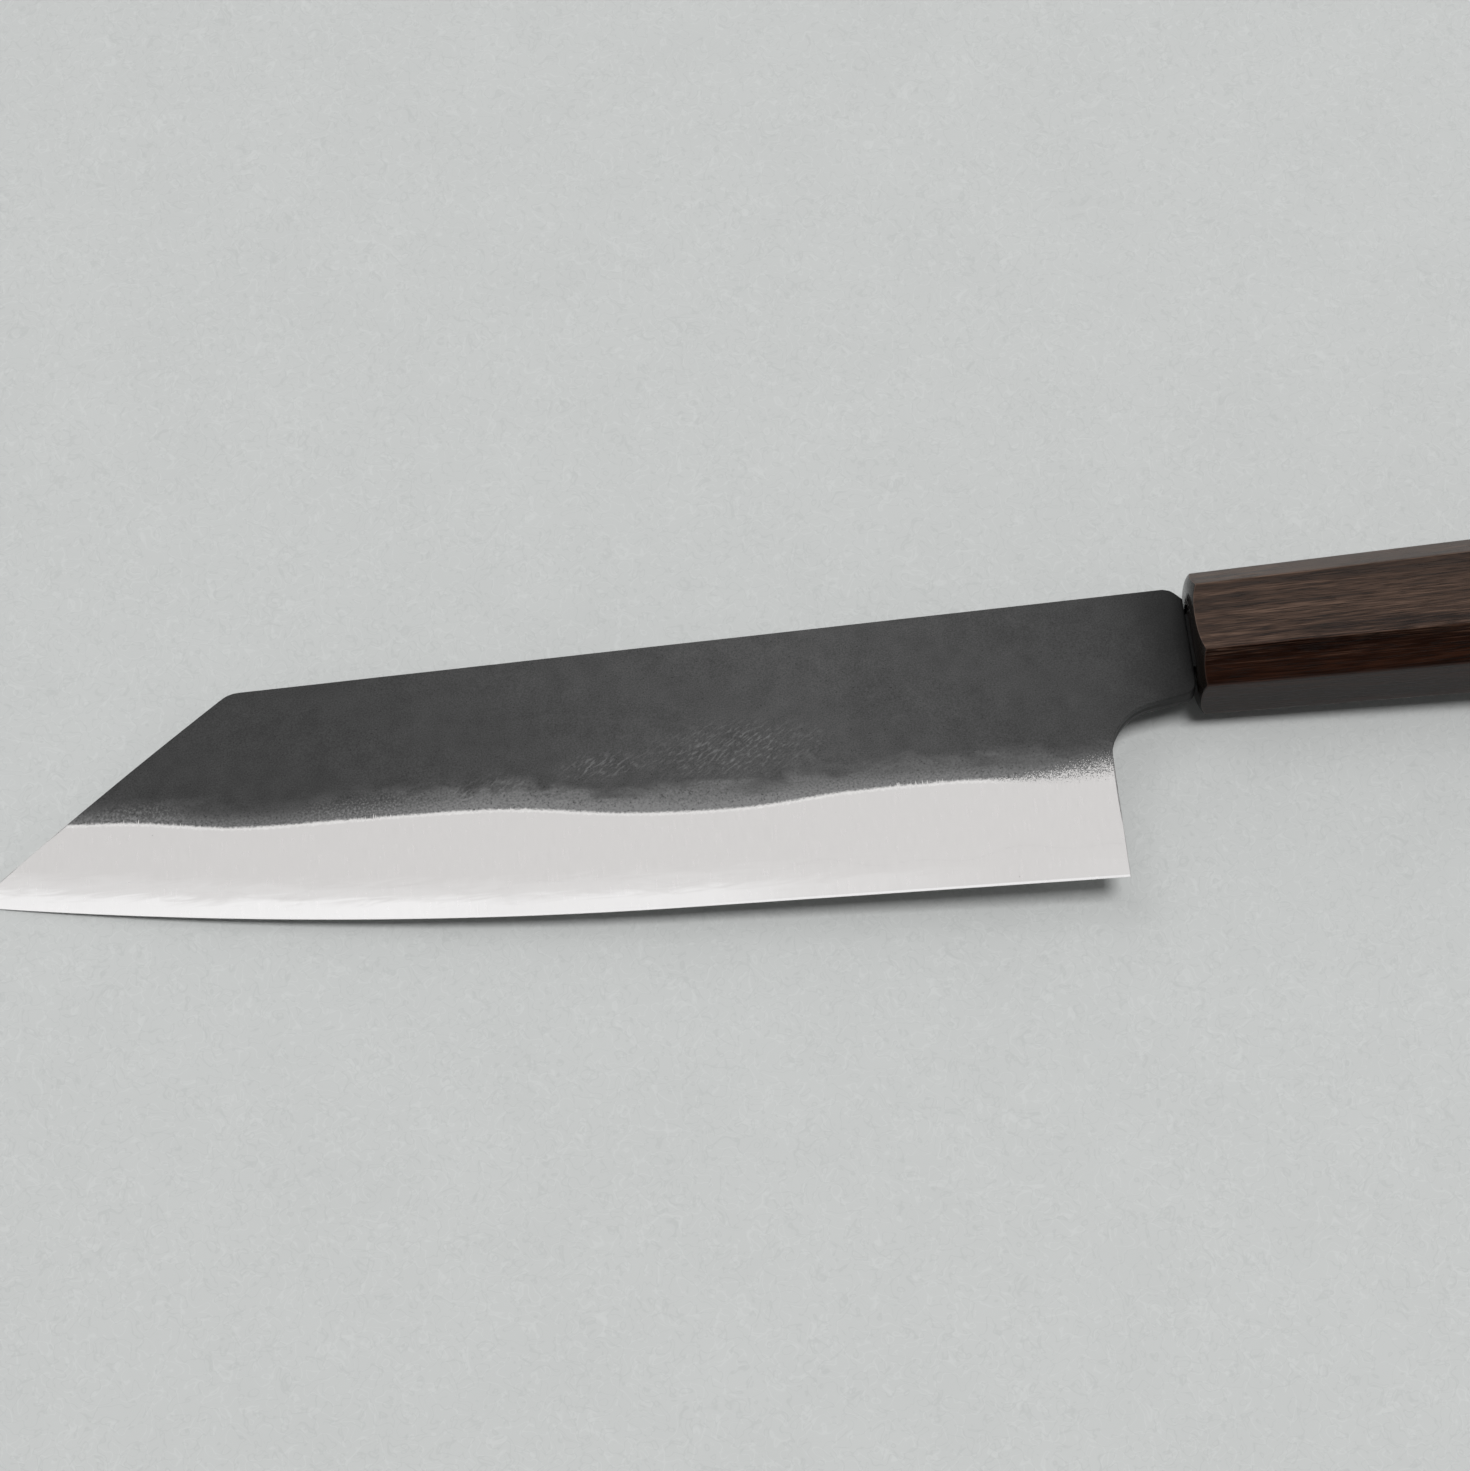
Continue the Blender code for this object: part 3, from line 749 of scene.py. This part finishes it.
turn = np.arctan2(section_at(front_x)[:, 1], section_at(front_x)[:, 0] / STRETCH)
round_way = np.stack((np.cos(turn), np.sin(turn)), axis=-1)
MOUTH_BEVEL = 0.06
bore_rows = (
    [(BORE_DEPTH, 0.0), (BORE_DEPTH, 3.0)]
    + [(x, BORE_RADIUS) for x in (BORE_DEPTH, 60.0, 20.0, 2.0, 0.35, MOUTH_BEVEL)]
    + [(0.0, BORE_RADIUS + MOUTH_BEVEL)]
)
bore_x = np.array([[x] * around for x, _ in bore_rows])
bore = np.array([radius * round_way for _, radius in bore_rows])
butt_rings = [7.0, 4.5, 2.0, 0.0]
ring_x = np.full((len(butt_rings), around), HANDLE_LENGTH)
ring_way = round_way * [STRETCH, 1.0]
rings = np.array([radius * ring_way for radius in butt_rings])

handle_x = np.concatenate((bore_x, front_end[0], side_x, butt_end[0], ring_x))
handle_yz = np.concatenate((bore, front_end[1], side, butt_end[1], rings))
first_side = len(bore_x) + len(front_end[0])
last_side = first_side + len(side_x) - 1
end_grain = np.ones(handle_x.shape)
end_grain[first_side:last_side + 1] = 0.0
# Painted highlight: points on the edges between facets and on the first and last side rows are
# marked to be painted paler.
painted_edge_highlight = np.zeros(handle_x.shape)
painted_edge_highlight[[first_side, last_side]] = 1.0
painted_edge_highlight[first_side:last_side + 1, FACET_POINTS + 1::FACET_POINTS + 3] = 1.0
print("handle rows", len(handle_x), "worn points", int(painted_edge_highlight.sum()))

# %% [markdown]
# A tube closes in on itself, so the last point of each loop joins the first. The first and the
# last loop have no radius, so their points merge into one and close the ends.

# %% Put the handle together


def tube_faces(loops, count):
    """Quads between neighbouring loops, with the last point of a loop next to the first."""
    index = np.arange(loops * count).reshape(loops, count)
    ahead = np.roll(index, -1, axis=1)
    return np.stack((index[:-1], ahead[:-1], ahead[1:], index[1:]), axis=-1).reshape(-1, 4)


def add_tube(name, x, yz, values=None):
    """Closed piece from loops round the handle's axis."""
    points = laid(x, yz[..., 0], yz[..., 1]).reshape(-1, 3)
    flat_values = {title: numbers.ravel() for title, numbers in (values or {}).items()}
    return add_piece(name, points, tube_faces(*x.shape), flat_values)


handle = add_tube("handle", handle_x, handle_yz, {"end_grain": end_grain, "painted_edge_highlight": painted_edge_highlight})

# %% [markdown]
# ## Black resin in the bore's mouth
# Resin closes the bore round the tang. It sits just behind the front face and creeps up the steel
# a little, as a liquid does before it sets. Its last loop repeats the first, so it is a closed
# ring.

# %% Resin
loop_turn = np.linspace(0, 2 * pi, 96, endpoint=False)
circle = np.stack((np.cos(loop_turn), np.sin(loop_turn)), axis=-1)
SLOT_HALF, GLUE_GAP = np.array([4.62, 1.78]), 0.2
FACE, BACK, CREEP_AT_TANG, CREEP_AT_BORE = 0.30, 1.35, 0.12, 0.08
reach = 1 / (abs(circle) / SLOT_HALF).max(axis=1)
slot = circle * reach[:, None]
bore_edge = circle * (BORE_RADIUS - GLUE_GAP)
loops, depths = [], []
for part in (0.0, 0.06, 0.15, 0.35, 0.65, 0.88, 0.96, 1.0):
    loops.append(slot + part * (bore_edge - slot))
    creep = CREEP_AT_TANG * smooth(1 - part / 0.25)
    depths.append(FACE - creep - CREEP_AT_BORE * smooth((part - 0.85) / 0.15))
for part in (1.0, 0.0):
    loops.append(slot + part * (bore_edge - slot))
    depths.append(BACK)
loops.append(loops[0])
depths.append(depths[0])
resin_x = np.repeat(np.array(depths)[:, None], len(circle), axis=1)
resin = add_tube("mouth_resin", resin_x, np.array(loops))

# %% [markdown]
# ## Where a pattern sits
# Wood grain follows the handle's axis and polishing lines follow the blade, so the patterns need
# the straight knife's own millimetres. A Mapping node of the texture type undoes the turn, the
# shift and the scale. A noise is stretched by a second Mapping node, whose scale is its number of
# waves per millimetre along each direction.

# %% Millimetres of the straight knife


def knife_place(tree):
    """Object coordinates turned back to the straight knife, in millimetres."""
    place = node(tree, "TexCoord").outputs["Object"]
    return node(tree, "Mapping", {
        "Vector": place, "Location": [MM * shift for shift in PLACE],
        "Rotation": (0.0, -TILT, 0.0), "Scale": (MM, MM, MM)}, vector_type="TEXTURE")


print("a 0.15 mm line needs", round(1 / 0.15, 1), "waves per mm")

# %% [markdown]
# ## Stone-polished bevel
# Iron and core steel share the ground bevel. It was ground across the blade and then polished on
# ever finer stones, which leaves a soft satin with faint upright lines about 0.15 mm apart,
# stronger in some places than in others. The core is brighter than the iron: partly its finer
# polish, partly painted reflection of the softbox. The stones blur the border between them into a
# cloudy band some 3 mm above the edge, with a paler veil up to 7 mm. The last 0.3 mm at the edge
# carries a painted highlight. Both materials call the same function, so the bevel reads as one
# surface.

# %% Bevel finish
IRON_GROUND, CORE_POLISH_AND_SHEEN = linear("#c9c7c6"), linear("#e5e4e4")


def bevel_finish(tree, place):
    """Colour, roughness and fine lines of the bevel, from the height above the edge."""
    height = node(tree, "Attribute", attribute_name="above_edge").outputs["Fac"]
    strength = node(tree, "Attribute", attribute_name="core_shine").outputs["Fac"]
    wisps = node(tree, "TexNoise", {
        "Vector": node(tree, "Mapping", {"Vector": place, "Scale": (0.13, 0.9, 0.1)}),
        "Scale": 1.0, "Detail": 5.0, "Distortion": 1.2})
    drift = node(tree, "MapRange", {
        "Value": wisps, "From Min": 0.3, "From Max": 0.7, "To Min": -0.9, "To Max": 0.9})
    uneven = node(tree, "Math", {0: height, 1: drift}, operation="ADD")
    veil = node(tree, "MapRange", {
        "Value": uneven, "From Min": 7.2, "From Max": 4.0,
        "To Max": 0.3}, interpolation_type="SMOOTHSTEP")
    band = node(tree, "MapRange", {
        "Value": uneven, "From Min": 4.0, "From Max": 1.9,
        "To Max": 0.7}, interpolation_type="SMOOTHSTEP")
    # Partly painted reflection: the veil and the band brighten the core towards the edge.
    shine = node(tree, "Math", {
        0: node(tree, "Math", {0: veil, 1: band}, operation="ADD"),
        1: strength}, operation="MULTIPLY")
    # Painted highlight: the last 0.3 to 0.4 mm above the edge gets the core's full brightness.
    last_bevel = node(tree, "MapRange", {"Value": height, "From Min": 0.42, "From Max": 0.28})
    shine = node(tree, "Math", {0: shine, 1: last_bevel}, operation="MAXIMUM")
    colour = node(tree, "Mix", {
        "Factor": shine, "A": IRON_GROUND, "B": CORE_POLISH_AND_SHEEN}, data_type="RGBA")

    lines = node(tree, "TexNoise", {
        "Vector": node(tree, "Mapping", {"Vector": place, "Scale": (4.5, 0.3, 0.1)}),
        "Scale": 1.0, "Detail": 3.0})
    where = node(tree, "TexNoise", {
        "Vector": node(tree, "Mapping", {"Vector": place, "Scale": (0.07, 0.1, 0.1)}),
        "Scale": 1.0, "Detail": 1.0})
    depth = node(tree, "MapRange", {
        "Value": where, "From Min": 0.35, "From Max": 0.65, "To Min": 0.02, "To Max": 0.08})
    tone = node(tree, "Math", {
        0: node(tree, "Math", {0: lines, 1: 0.5}, operation="SUBTRACT"),
        1: depth, 2: 1.0}, operation="MULTIPLY_ADD")
    cells = node(tree, "TexVoronoi", {"Vector": place, "Scale": 0.12})
    pit = node(tree, "MapRange", {
        "Value": cells, "From Min": 0.008, "From Max": 0.018, "To Min": 0.75, "To Max": 1.0})
    tone = node(tree, "Math", {0: tone, 1: pit}, operation="MULTIPLY")
    colour = node(tree, "VectorMath", {0: colour, "Scale": tone}, operation="SCALE")
    roughness = node(tree, "MapRange", {
        "Value": lines, "From Min": 0.3, "From Max": 0.7, "To Min": 0.27, "To Max": 0.33})
    return colour, roughness, lines


print("bare iron reflects", [round(c, 2) for c in IRON_GROUND[:3]])

# %% [markdown]
# ## Forged iron
# The claddings are soft iron. The forge leaves black scale on the flats, an oxide skin that is
# matte and a little rough. A ramp of greys follows the blade from the point to the neck, with
# light painted into it: paler in the middle of the blade, a painted reflection of the softbox, and
# almost black beside the handle, partly the scale's own tone and partly painted shade of the
# handle. Two noises make it uneven: soft patches of some 3 mm, and grit of 0.2 mm.

# %% Black scale
RAMP_LENGTH = 185.0
# Painted light: brighter in the middle as a painted reflection, darker by the handle partly as
# painted shade.
SCALE_TONES_WITH_PAINTED_LIGHT = (
    (-185, "#383838"), (-135, "#3a3a3a"), (-120, "#3e3e3e"), (-105, "#414141"), (-90, "#454545"),
    (-61, "#4b4b4b"), (-46, "#474747"), (-31, "#444444"), (-16, "#404040"), (-12, "#3c3c3c"),
    (-9, "#373737"), (-6, "#2d2d2d"), (-4, "#262626"), (-1, "#1d1d1d"),
)
iron, tree = new_material("forged_iron_black_scale_and_ground_bevel")
place = knife_place(tree)
x = node(tree, "SeparateXYZ", {"Vector": place}).outputs["X"]
height = node(tree, "Attribute", attribute_name="above_grind").outputs["Fac"]
along = node(tree, "MapRange", {"Value": x, "From Min": -RAMP_LENGTH, "From Max": 0.0})
scale = node(tree, "ValToRGB", {"Fac": along})
ramp = scale.color_ramp.elements
while len(ramp) < len(SCALE_TONES_WITH_PAINTED_LIGHT):
    ramp.new(0.5)
for stop, (station, code) in zip(ramp, SCALE_TONES_WITH_PAINTED_LIGHT):
    stop.position, stop.color = 1 + station / RAMP_LENGTH, linear(code)

patches = node(tree, "TexNoise", {"Vector": place, "Scale": 0.33, "Detail": 6.0})
patches = node(tree, "MapRange", {
    "Value": patches, "From Min": 0.3, "From Max": 0.7, "To Min": 0.88, "To Max": 1.12})
grit = node(tree, "TexNoise", {"Vector": place, "Scale": 4.5, "Detail": 3.0})
grit = node(tree, "MapRange", {
    "Value": grit, "From Min": 0.3, "From Max": 0.7, "To Min": 0.72, "To Max": 1.28})
uneven = node(tree, "Math", {0: patches, 1: grit}, operation="MULTIPLY")
scale = node(tree, "VectorMath", {0: scale.outputs["Color"], "Scale": uneven}, operation="SCALE")
print("stops in the ramp of greys", len(ramp))

# %% [markdown]
# Near the grind line the scale was brushed to a paler haze. It has a wispy upper border some 4 mm
# above the line, is strongest in the middle of the blade, and gets paler again right beside the
# line. The brush caught the higher grains of the scale more than the rest, so the haze is mottled.

# %% Brushed haze
wisps = node(tree, "TexNoise", {
    "Vector": node(tree, "Mapping", {"Vector": place, "Scale": (0.16, 0.35, 0.1)}),
    "Scale": 1.0, "Detail": 6.0, "Distortion": 0.6})
reach = node(tree, "Math", {0: wisps, 1: 7.0, 2: -3.5}, operation="MULTIPLY_ADD")
broad = node(tree, "MapRange", {
    "Value": node(tree, "Math", {0: height, 1: reach}, operation="ADD"),
    "From Min": 5.2, "From Max": 2.4, "To Max": 0.55}, interpolation_type="SMOOTHSTEP")
brushed = node(tree, "Attribute", attribute_name="brushed").outputs["Fac"]
broad = node(tree, "Math", {0: broad, 1: brushed}, operation="MULTIPLY")
close = node(tree, "MapRange", {
    "Value": height, "From Min": 2.8, "From Max": 0.0,
    "To Max": 0.45}, interpolation_type="SMOOTHSTEP")
haze = node(tree, "Math", {0: broad, 1: close}, operation="ADD")
grains = node(tree, "TexNoise", {"Vector": place, "Scale": 3.0, "Detail": 3.0})
mottle = node(tree, "MapRange", {
    "Value": grains, "From Min": 0.35, "From Max": 0.65, "To Min": 0.6, "To Max": 1.4})
haze = node(tree, "Math", {0: haze, 1: mottle}, operation="MULTIPLY")
scale = node(tree, "Mix", {"Factor": haze, "A": scale, "B": linear("#7f7f7f")}, data_type="RGBA")
print("scale and haze", len(tree.nodes), "nodes")

# %% [markdown]
# The wire brush left marks in five places. In the middle of the blade they are short light dashes
# that rise towards the handle, about 1 mm long and 0.3 mm wide. Nearer the point they are bare
# grains of 0.3 mm. An ellipse of a given centre and size masks each place. Fine pits of the same
# size as the grains, but dark and few, lie all over the scale.

# %% Brush marks and pits
dashes = node(tree, "TexNoise", {
    "Vector": node(tree, "Mapping", {
        "Vector": node(tree, "Mapping", {"Vector": place, "Rotation": (0.0, 0.0, -radians(35))}),
        "Scale": (0.8, 2.6, 0.1)}), "Scale": 1.0, "Detail": 2.0})
dashes = node(tree, "MapRange", {"Value": dashes, "From Min": 0.5, "From Max": 0.72})
bare_grains = node(tree, "MapRange", {"Value": grains, "From Min": 0.5, "From Max": 0.66})
for marks, centre, size in (
    (dashes, (-70.0, -10.5, 0.0), (17.0, 6.0, 900.0)),
    (dashes, (-90.0, -11.0, 0.0), (8.0, 3.0, 900.0)),
    (dashes, (-107.0, -14.0, 0.0), (10.0, 4.0, 900.0)),
    (bare_grains, (-125.0, -14.2, 0.0), (12.0, 3.4, 900.0)),
    (bare_grains, (-160.0, -12.0, 0.0), (9.0, 3.4, 900.0)),
):
    ellipse = node(tree, "Mapping", {
        "Vector": place, "Location": centre, "Scale": size}, vector_type="TEXTURE")
    away = node(tree, "VectorMath", {0: ellipse}, operation="LENGTH")
    inside = node(tree, "MapRange", {
        "Value": away, "From Min": 1.0, "From Max": 0.3, "To Max": 0.45})
    share_here = node(tree, "Math", {0: marks, 1: inside}, operation="MULTIPLY")
    scale = node(tree, "Mix", {
        "Factor": share_here, "A": scale, "B": linear("#8c8c8c")}, data_type="RGBA")

pits = node(tree, "MapRange", {"Value": grains, "From Min": 0.36, "From Max": 0.28, "To Max": 0.6})
scale = node(tree, "Mix", {"Factor": pits, "A": scale, "B": linear("#1c1c1c")}, data_type="RGBA")
print("with marks and pits", len(tree.nodes), "nodes")

# %% [markdown]
# The stone left an uneven border where it reached the scale: fine teeth of 0.2 mm, here and there
# a cluster of upright scratches, and loose specks over more than a millimetre beside the heel. All
# of them shift the height at which scale turns to bare iron. Just under the border runs a thin
# painted highlight, broken up by the teeth. Behind the heel everything is scale.

# %% Border of the scale
teeth = node(tree, "TexNoise", {"Vector": place, "Scale": 2.4, "Detail": 4.0})
shift = node(tree, "Math", {0: teeth, 1: 0.8, 2: -0.62}, operation="MULTIPLY_ADD")
specks = node(tree, "TexNoise", {"Vector": place, "Scale": 6.5, "Detail": 2.0})
specks = node(tree, "MapRange", {
    "Value": specks, "From Min": 0.32, "From Max": 0.68, "To Min": -2.4, "To Max": 2.4})
by_heel = node(tree, "MapRange", {"Value": x, "From Min": -35.0, "From Max": -16.0})
loose = node(tree, "Math", {0: specks, 1: by_heel}, operation="MULTIPLY")
scratches = node(tree, "TexNoise", {
    "Vector": node(tree, "Mapping", {"Vector": place, "Scale": (4.0, 0.15, 0.1)}),
    "Scale": 1.0, "Detail": 1.0})
scratches = node(tree, "MapRange", {
    "Value": scratches, "From Min": 0.58, "From Max": 0.72, "To Max": -0.6})
clusters = node(tree, "TexNoise", {
    "Vector": node(tree, "Mapping", {"Vector": place, "Scale": (0.06, 0.0, 0.0)}),
    "Scale": 1.0, "Detail": 0.0})
clusters = node(tree, "MapRange", {"Value": clusters, "From Min": 0.52, "From Max": 0.62})
scratches = node(tree, "Math", {0: scratches, 1: clusters}, operation="MULTIPLY")
behind_heel = node(tree, "MapRange", {
    "Value": x, "From Min": HEEL_X + 0.1, "From Max": HEEL_X + 0.6, "To Max": 4.0})
for part in (height, loose, scratches, behind_heel):
    shift = node(tree, "Math", {0: shift, 1: part}, operation="ADD")
scaled = node(tree, "MapRange", {"Value": shift, "From Min": -0.4, "From Max": 0.0})
bare = node(tree, "Math", {0: 1.0, 1: scaled}, operation="SUBTRACT")
# Painted highlight: a thin pale line just under the border of the scale.
rim_light = node(tree, "MapRange", {
    "Value": shift, "From Min": -0.85, "From Max": -0.5, "To Max": 0.6})
rim_light = node(tree, "Math", {0: rim_light, 1: teeth}, operation="MULTIPLY")

bevel_colour, bevel_rough, _ = bevel_finish(tree, place)
bevel_colour = node(tree, "Mix", {
    "Factor": rim_light, "A": bevel_colour, "B": linear("#f0efee")}, data_type="RGBA")
colour = node(tree, "Mix", {"Factor": scaled, "A": bevel_colour, "B": scale}, data_type="RGBA")
rough = node(tree, "Mix", {"Factor": scaled, "A": bevel_rough, "B": 0.55})
skin = node(tree, "Math", {0: uneven, 1: dashes}, operation="ADD")
skin = node(tree, "Math", {0: skin, 1: scaled}, operation="MULTIPLY")
bump = node(tree, "Bump", {"Height": skin, "Strength": 0.5, "Distance": 0.00004})
surface = node(tree, "BsdfPrincipled", {
    "Base Color": colour, "Roughness": rough, "Metallic": bare, "Normal": bump,
    "Specular IOR Level": 0.2})
node(tree, "OutputMaterial", {"Surface": surface})
print("forged iron", len(tree.nodes), "nodes")

# %% [markdown]
# ## Core steel
# High-carbon steel in the middle of the blade, hard enough to take a fine edge. Only its lowest
# few millimetres show on the bevel, and they carry the same finish. Round the rest of the outline
# it is a thin dark line between the two irons, under the same scale. The polishing lines are cut
# into it by less than a thousandth of a millimetre.

# %% Core steel
steel, tree = new_material("core_steel_stone_polished")
place = knife_place(tree)
x = node(tree, "SeparateXYZ", {"Vector": place}).outputs["X"]
height = node(tree, "Attribute", attribute_name="above_grind").outputs["Fac"]
behind_heel = node(tree, "MapRange", {
    "Value": x, "From Min": HEEL_X + 0.1, "From Max": HEEL_X + 0.6, "To Max": 9.0})
shift = node(tree, "Math", {0: height, 1: behind_heel}, operation="ADD")
scaled = node(tree, "MapRange", {"Value": shift, "From Min": -0.4, "From Max": 0.2})
bare = node(tree, "Math", {0: 1.0, 1: scaled}, operation="SUBTRACT")
bevel_colour, bevel_rough, lines = bevel_finish(tree, place)
colour = node(tree, "Mix", {
    "Factor": scaled, "A": bevel_colour, "B": linear("#262626")}, data_type="RGBA")
rough = node(tree, "Mix", {"Factor": scaled, "A": bevel_rough, "B": 0.6})
bump = node(tree, "Bump", {"Height": lines, "Strength": 0.3, "Distance": 0.000002})
surface = node(tree, "BsdfPrincipled", {
    "Base Color": colour, "Roughness": rough, "Metallic": bare, "Normal": bump,
    "Specular IOR Level": 0.2})
node(tree, "OutputMaterial", {"Surface": surface})
print("core steel", len(tree.nodes), "nodes")

# %% [markdown]
# ## Oiled rosewood
# A dense dark wood, sanded fine and oiled, of a deep brown. Its weak gloss lays a grey veil on the
# facets that mirror the softbox or the board. The grain runs along the handle: broad bands 4 mm
# across, streaks of 1 mm by 33 mm and fibres of 0.2 mm by 7 mm. A dark red band of painted shade
# follows the lower front edge, so the facet above it turns from brown to nearly black. The edges
# between the facets are a little paler: a painted highlight where their rounding catches the light.

# %% Grain, painted shade and painted edge highlights
rosewood, tree = new_material("oiled_rosewood_sanded")
place = knife_place(tree)
grain = 0.0
for waves, weight in (((0.010, 0.26, 0.26), 0.33), ((0.03, 1.0, 1.0), 0.28),
                      ((0.14, 5.0, 5.0), 0.39)):
    layer = node(tree, "TexNoise", {
        "Vector": node(tree, "Mapping", {"Vector": place, "Scale": waves}),
        "Scale": 1.0, "Detail": 3.0, "Distortion": 0.1})
    grain = node(tree, "Math", {0: layer, 1: weight, 2: grain}, operation="MULTIPLY_ADD")
tone = node(tree, "ValToRGB", {"Fac": grain})
ramp = tone.color_ramp.elements
WOOD_TONES = ((0.40, "#211711"), (0.47, "#32231a"), (0.53, "#433228"), (0.60, "#5c483c"))
while len(ramp) < len(WOOD_TONES):
    ramp.new(0.5)
for stop, (position, code) in zip(ramp, WOOD_TONES):
    stop.position, stop.color = position, linear(code)

# Painted shade: a dark band along the lower front edge darkens the facet above it.
from_painted_shade_band = node(tree, "Mapping", {
    "Vector": place, "Location": (0.0, -13.0, -2.0),
    "Scale": (900.0, 11.0, 10.0)}, vector_type="TEXTURE")
away = node(tree, "VectorMath", {0: from_painted_shade_band}, operation="LENGTH")
away = node(tree, "Math", {0: grain, 1: 1.6, 2: away}, operation="MULTIPLY_ADD")
painted_shade_band = node(tree, "MapRange", {"Value": away, "From Min": 2.25, "From Max": 1.9})
# Painted highlight: the marked edges are mixed towards a paler brown.
edge_highlight = node(tree, "Attribute", attribute_name="painted_edge_highlight").outputs["Fac"]
edge_highlight = node(tree, "Math", {0: edge_highlight, 1: grain}, operation="MULTIPLY")
colour = node(tree, "Mix", {
    "Factor": edge_highlight, "A": tone.outputs["Color"], "B": linear("#7d685c")}, data_type="RGBA")
colour = node(tree, "Mix", {
    "Factor": painted_shade_band, "A": colour, "B": linear("#8a6957")}, data_type="RGBA", blend_type="MULTIPLY")
print("grain, vein and highlighted_edges", len(tree.nodes), "nodes")

# %% [markdown]
# Open pores are thin dark dashes of 0.2 mm by 4 mm, and deep enough to break the gloss. The turned
# ends show end grain: it soaks up more oil, so it is nearly black, and the lathe left it smoother
# than the sides.

# %% Pores and ends
pores = node(tree, "TexNoise", {
    "Vector": node(tree, "Mapping", {"Vector": place, "Scale": (0.25, 5.0, 5.0)}),
    "Scale": 1.0, "Detail": 2.0})
pores = node(tree, "MapRange", {"Value": pores, "From Min": 0.55, "From Max": 0.65, "To Max": 0.7})
colour = node(tree, "Mix", {
    "Factor": pores, "A": colour, "B": linear("#0c0705")}, data_type="RGBA")
end_grain = node(tree, "Attribute", attribute_name="end_grain").outputs["Fac"]
colour = node(tree, "Mix", {
    "Factor": end_grain, "A": colour, "B": linear("#120c08")}, data_type="RGBA")
rough = node(tree, "MapRange", {
    "Value": grain, "From Min": 0.4, "From Max": 0.6, "To Min": 0.27, "To Max": 0.35})
rough = node(tree, "Mix", {"Factor": end_grain, "A": rough, "B": 0.2})
ridge = node(tree, "Math", {0: grain, 1: pores}, operation="SUBTRACT")
bump = node(tree, "Bump", {"Height": ridge, "Strength": 0.4, "Distance": 0.00006})
surface = node(tree, "BsdfPrincipled", {
    "Base Color": colour, "Roughness": rough, "Normal": bump, "Specular IOR Level": 0.25})
node(tree, "OutputMaterial", {"Surface": surface})
print("rosewood", len(tree.nodes), "nodes")

# %% [markdown]
# ## Resin and magnolia
# The resin is poured black and sets with a soft shine and faint waves. The dowel that holds the
# tang is split magnolia, a pale even wood that is left raw. It is hidden inside the handle.

# %% Resin and magnolia
resin_black, tree = new_material("cast_black_resin")
place = knife_place(tree)
cloud = node(tree, "TexNoise", {"Vector": place, "Scale": 0.6, "Detail": 3.0})
colour = node(tree, "Mix", {
    "Factor": cloud, "A": linear("#141110"), "B": linear("#221d1a")}, data_type="RGBA")
rough = node(tree, "MapRange", {"Value": cloud, "To Min": 0.25, "To Max": 0.45})
bump = node(tree, "Bump", {"Height": cloud, "Strength": 0.4, "Distance": 0.0001})
surface = node(tree, "BsdfPrincipled", {"Base Color": colour, "Roughness": rough, "Normal": bump})
node(tree, "OutputMaterial", {"Surface": surface})

magnolia, tree = new_material("raw_magnolia_wood")
growth = node(tree, "TexNoise", {
    "Vector": node(tree, "Mapping", {"Vector": knife_place(tree), "Scale": (0.02, 0.9, 0.9)}),
    "Scale": 1.0, "Detail": 4.0})
colour = node(tree, "Mix", {
    "Factor": growth, "A": linear("#b7a67f"), "B": linear("#d6c7a3")}, data_type="RGBA")
rough = node(tree, "MapRange", {"Value": growth, "To Min": 0.6, "To Max": 0.8})
bump = node(tree, "Bump", {"Height": growth, "Strength": 0.4, "Distance": 0.0001})
surface = node(tree, "BsdfPrincipled", {"Base Color": colour, "Roughness": rough, "Normal": bump})
node(tree, "OutputMaterial", {"Surface": surface})
print("materials", len(bpy.data.materials))

# %% [markdown]
# ## Join the pieces to the frame
# Every piece names the body it moves with, the node it stands for and the finish it carries.

# %% Frame calls
for piece, node_name, slot_name, finish in (
    (cladding_left, "blade_cladding_left", "forged_iron", iron),
    (cladding_right, "blade_cladding_right", "forged_iron", iron),
    (core, "blade_core", "core_steel", steel),
    (handle, "handle_body", "rosewood", rosewood),
    (resin, "mouth_seal", "black_resin", resin_black),
):
    piece.data.materials.append(finish)
    piece.data.shade_smooth()
    piece.data.set_sharp_from_angle(angle=radians(30))
    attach(piece, "root")
    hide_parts(node_name)
    print(piece.name, "stands for", node_name)
for node_name in ("tang_dowel_left", "tang_dowel_right"):
    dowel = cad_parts[node_name]
    for material_slot in dowel.material_slots:
        material_slot.material = magnolia
    print(node_name, "keeps its CAD mesh")
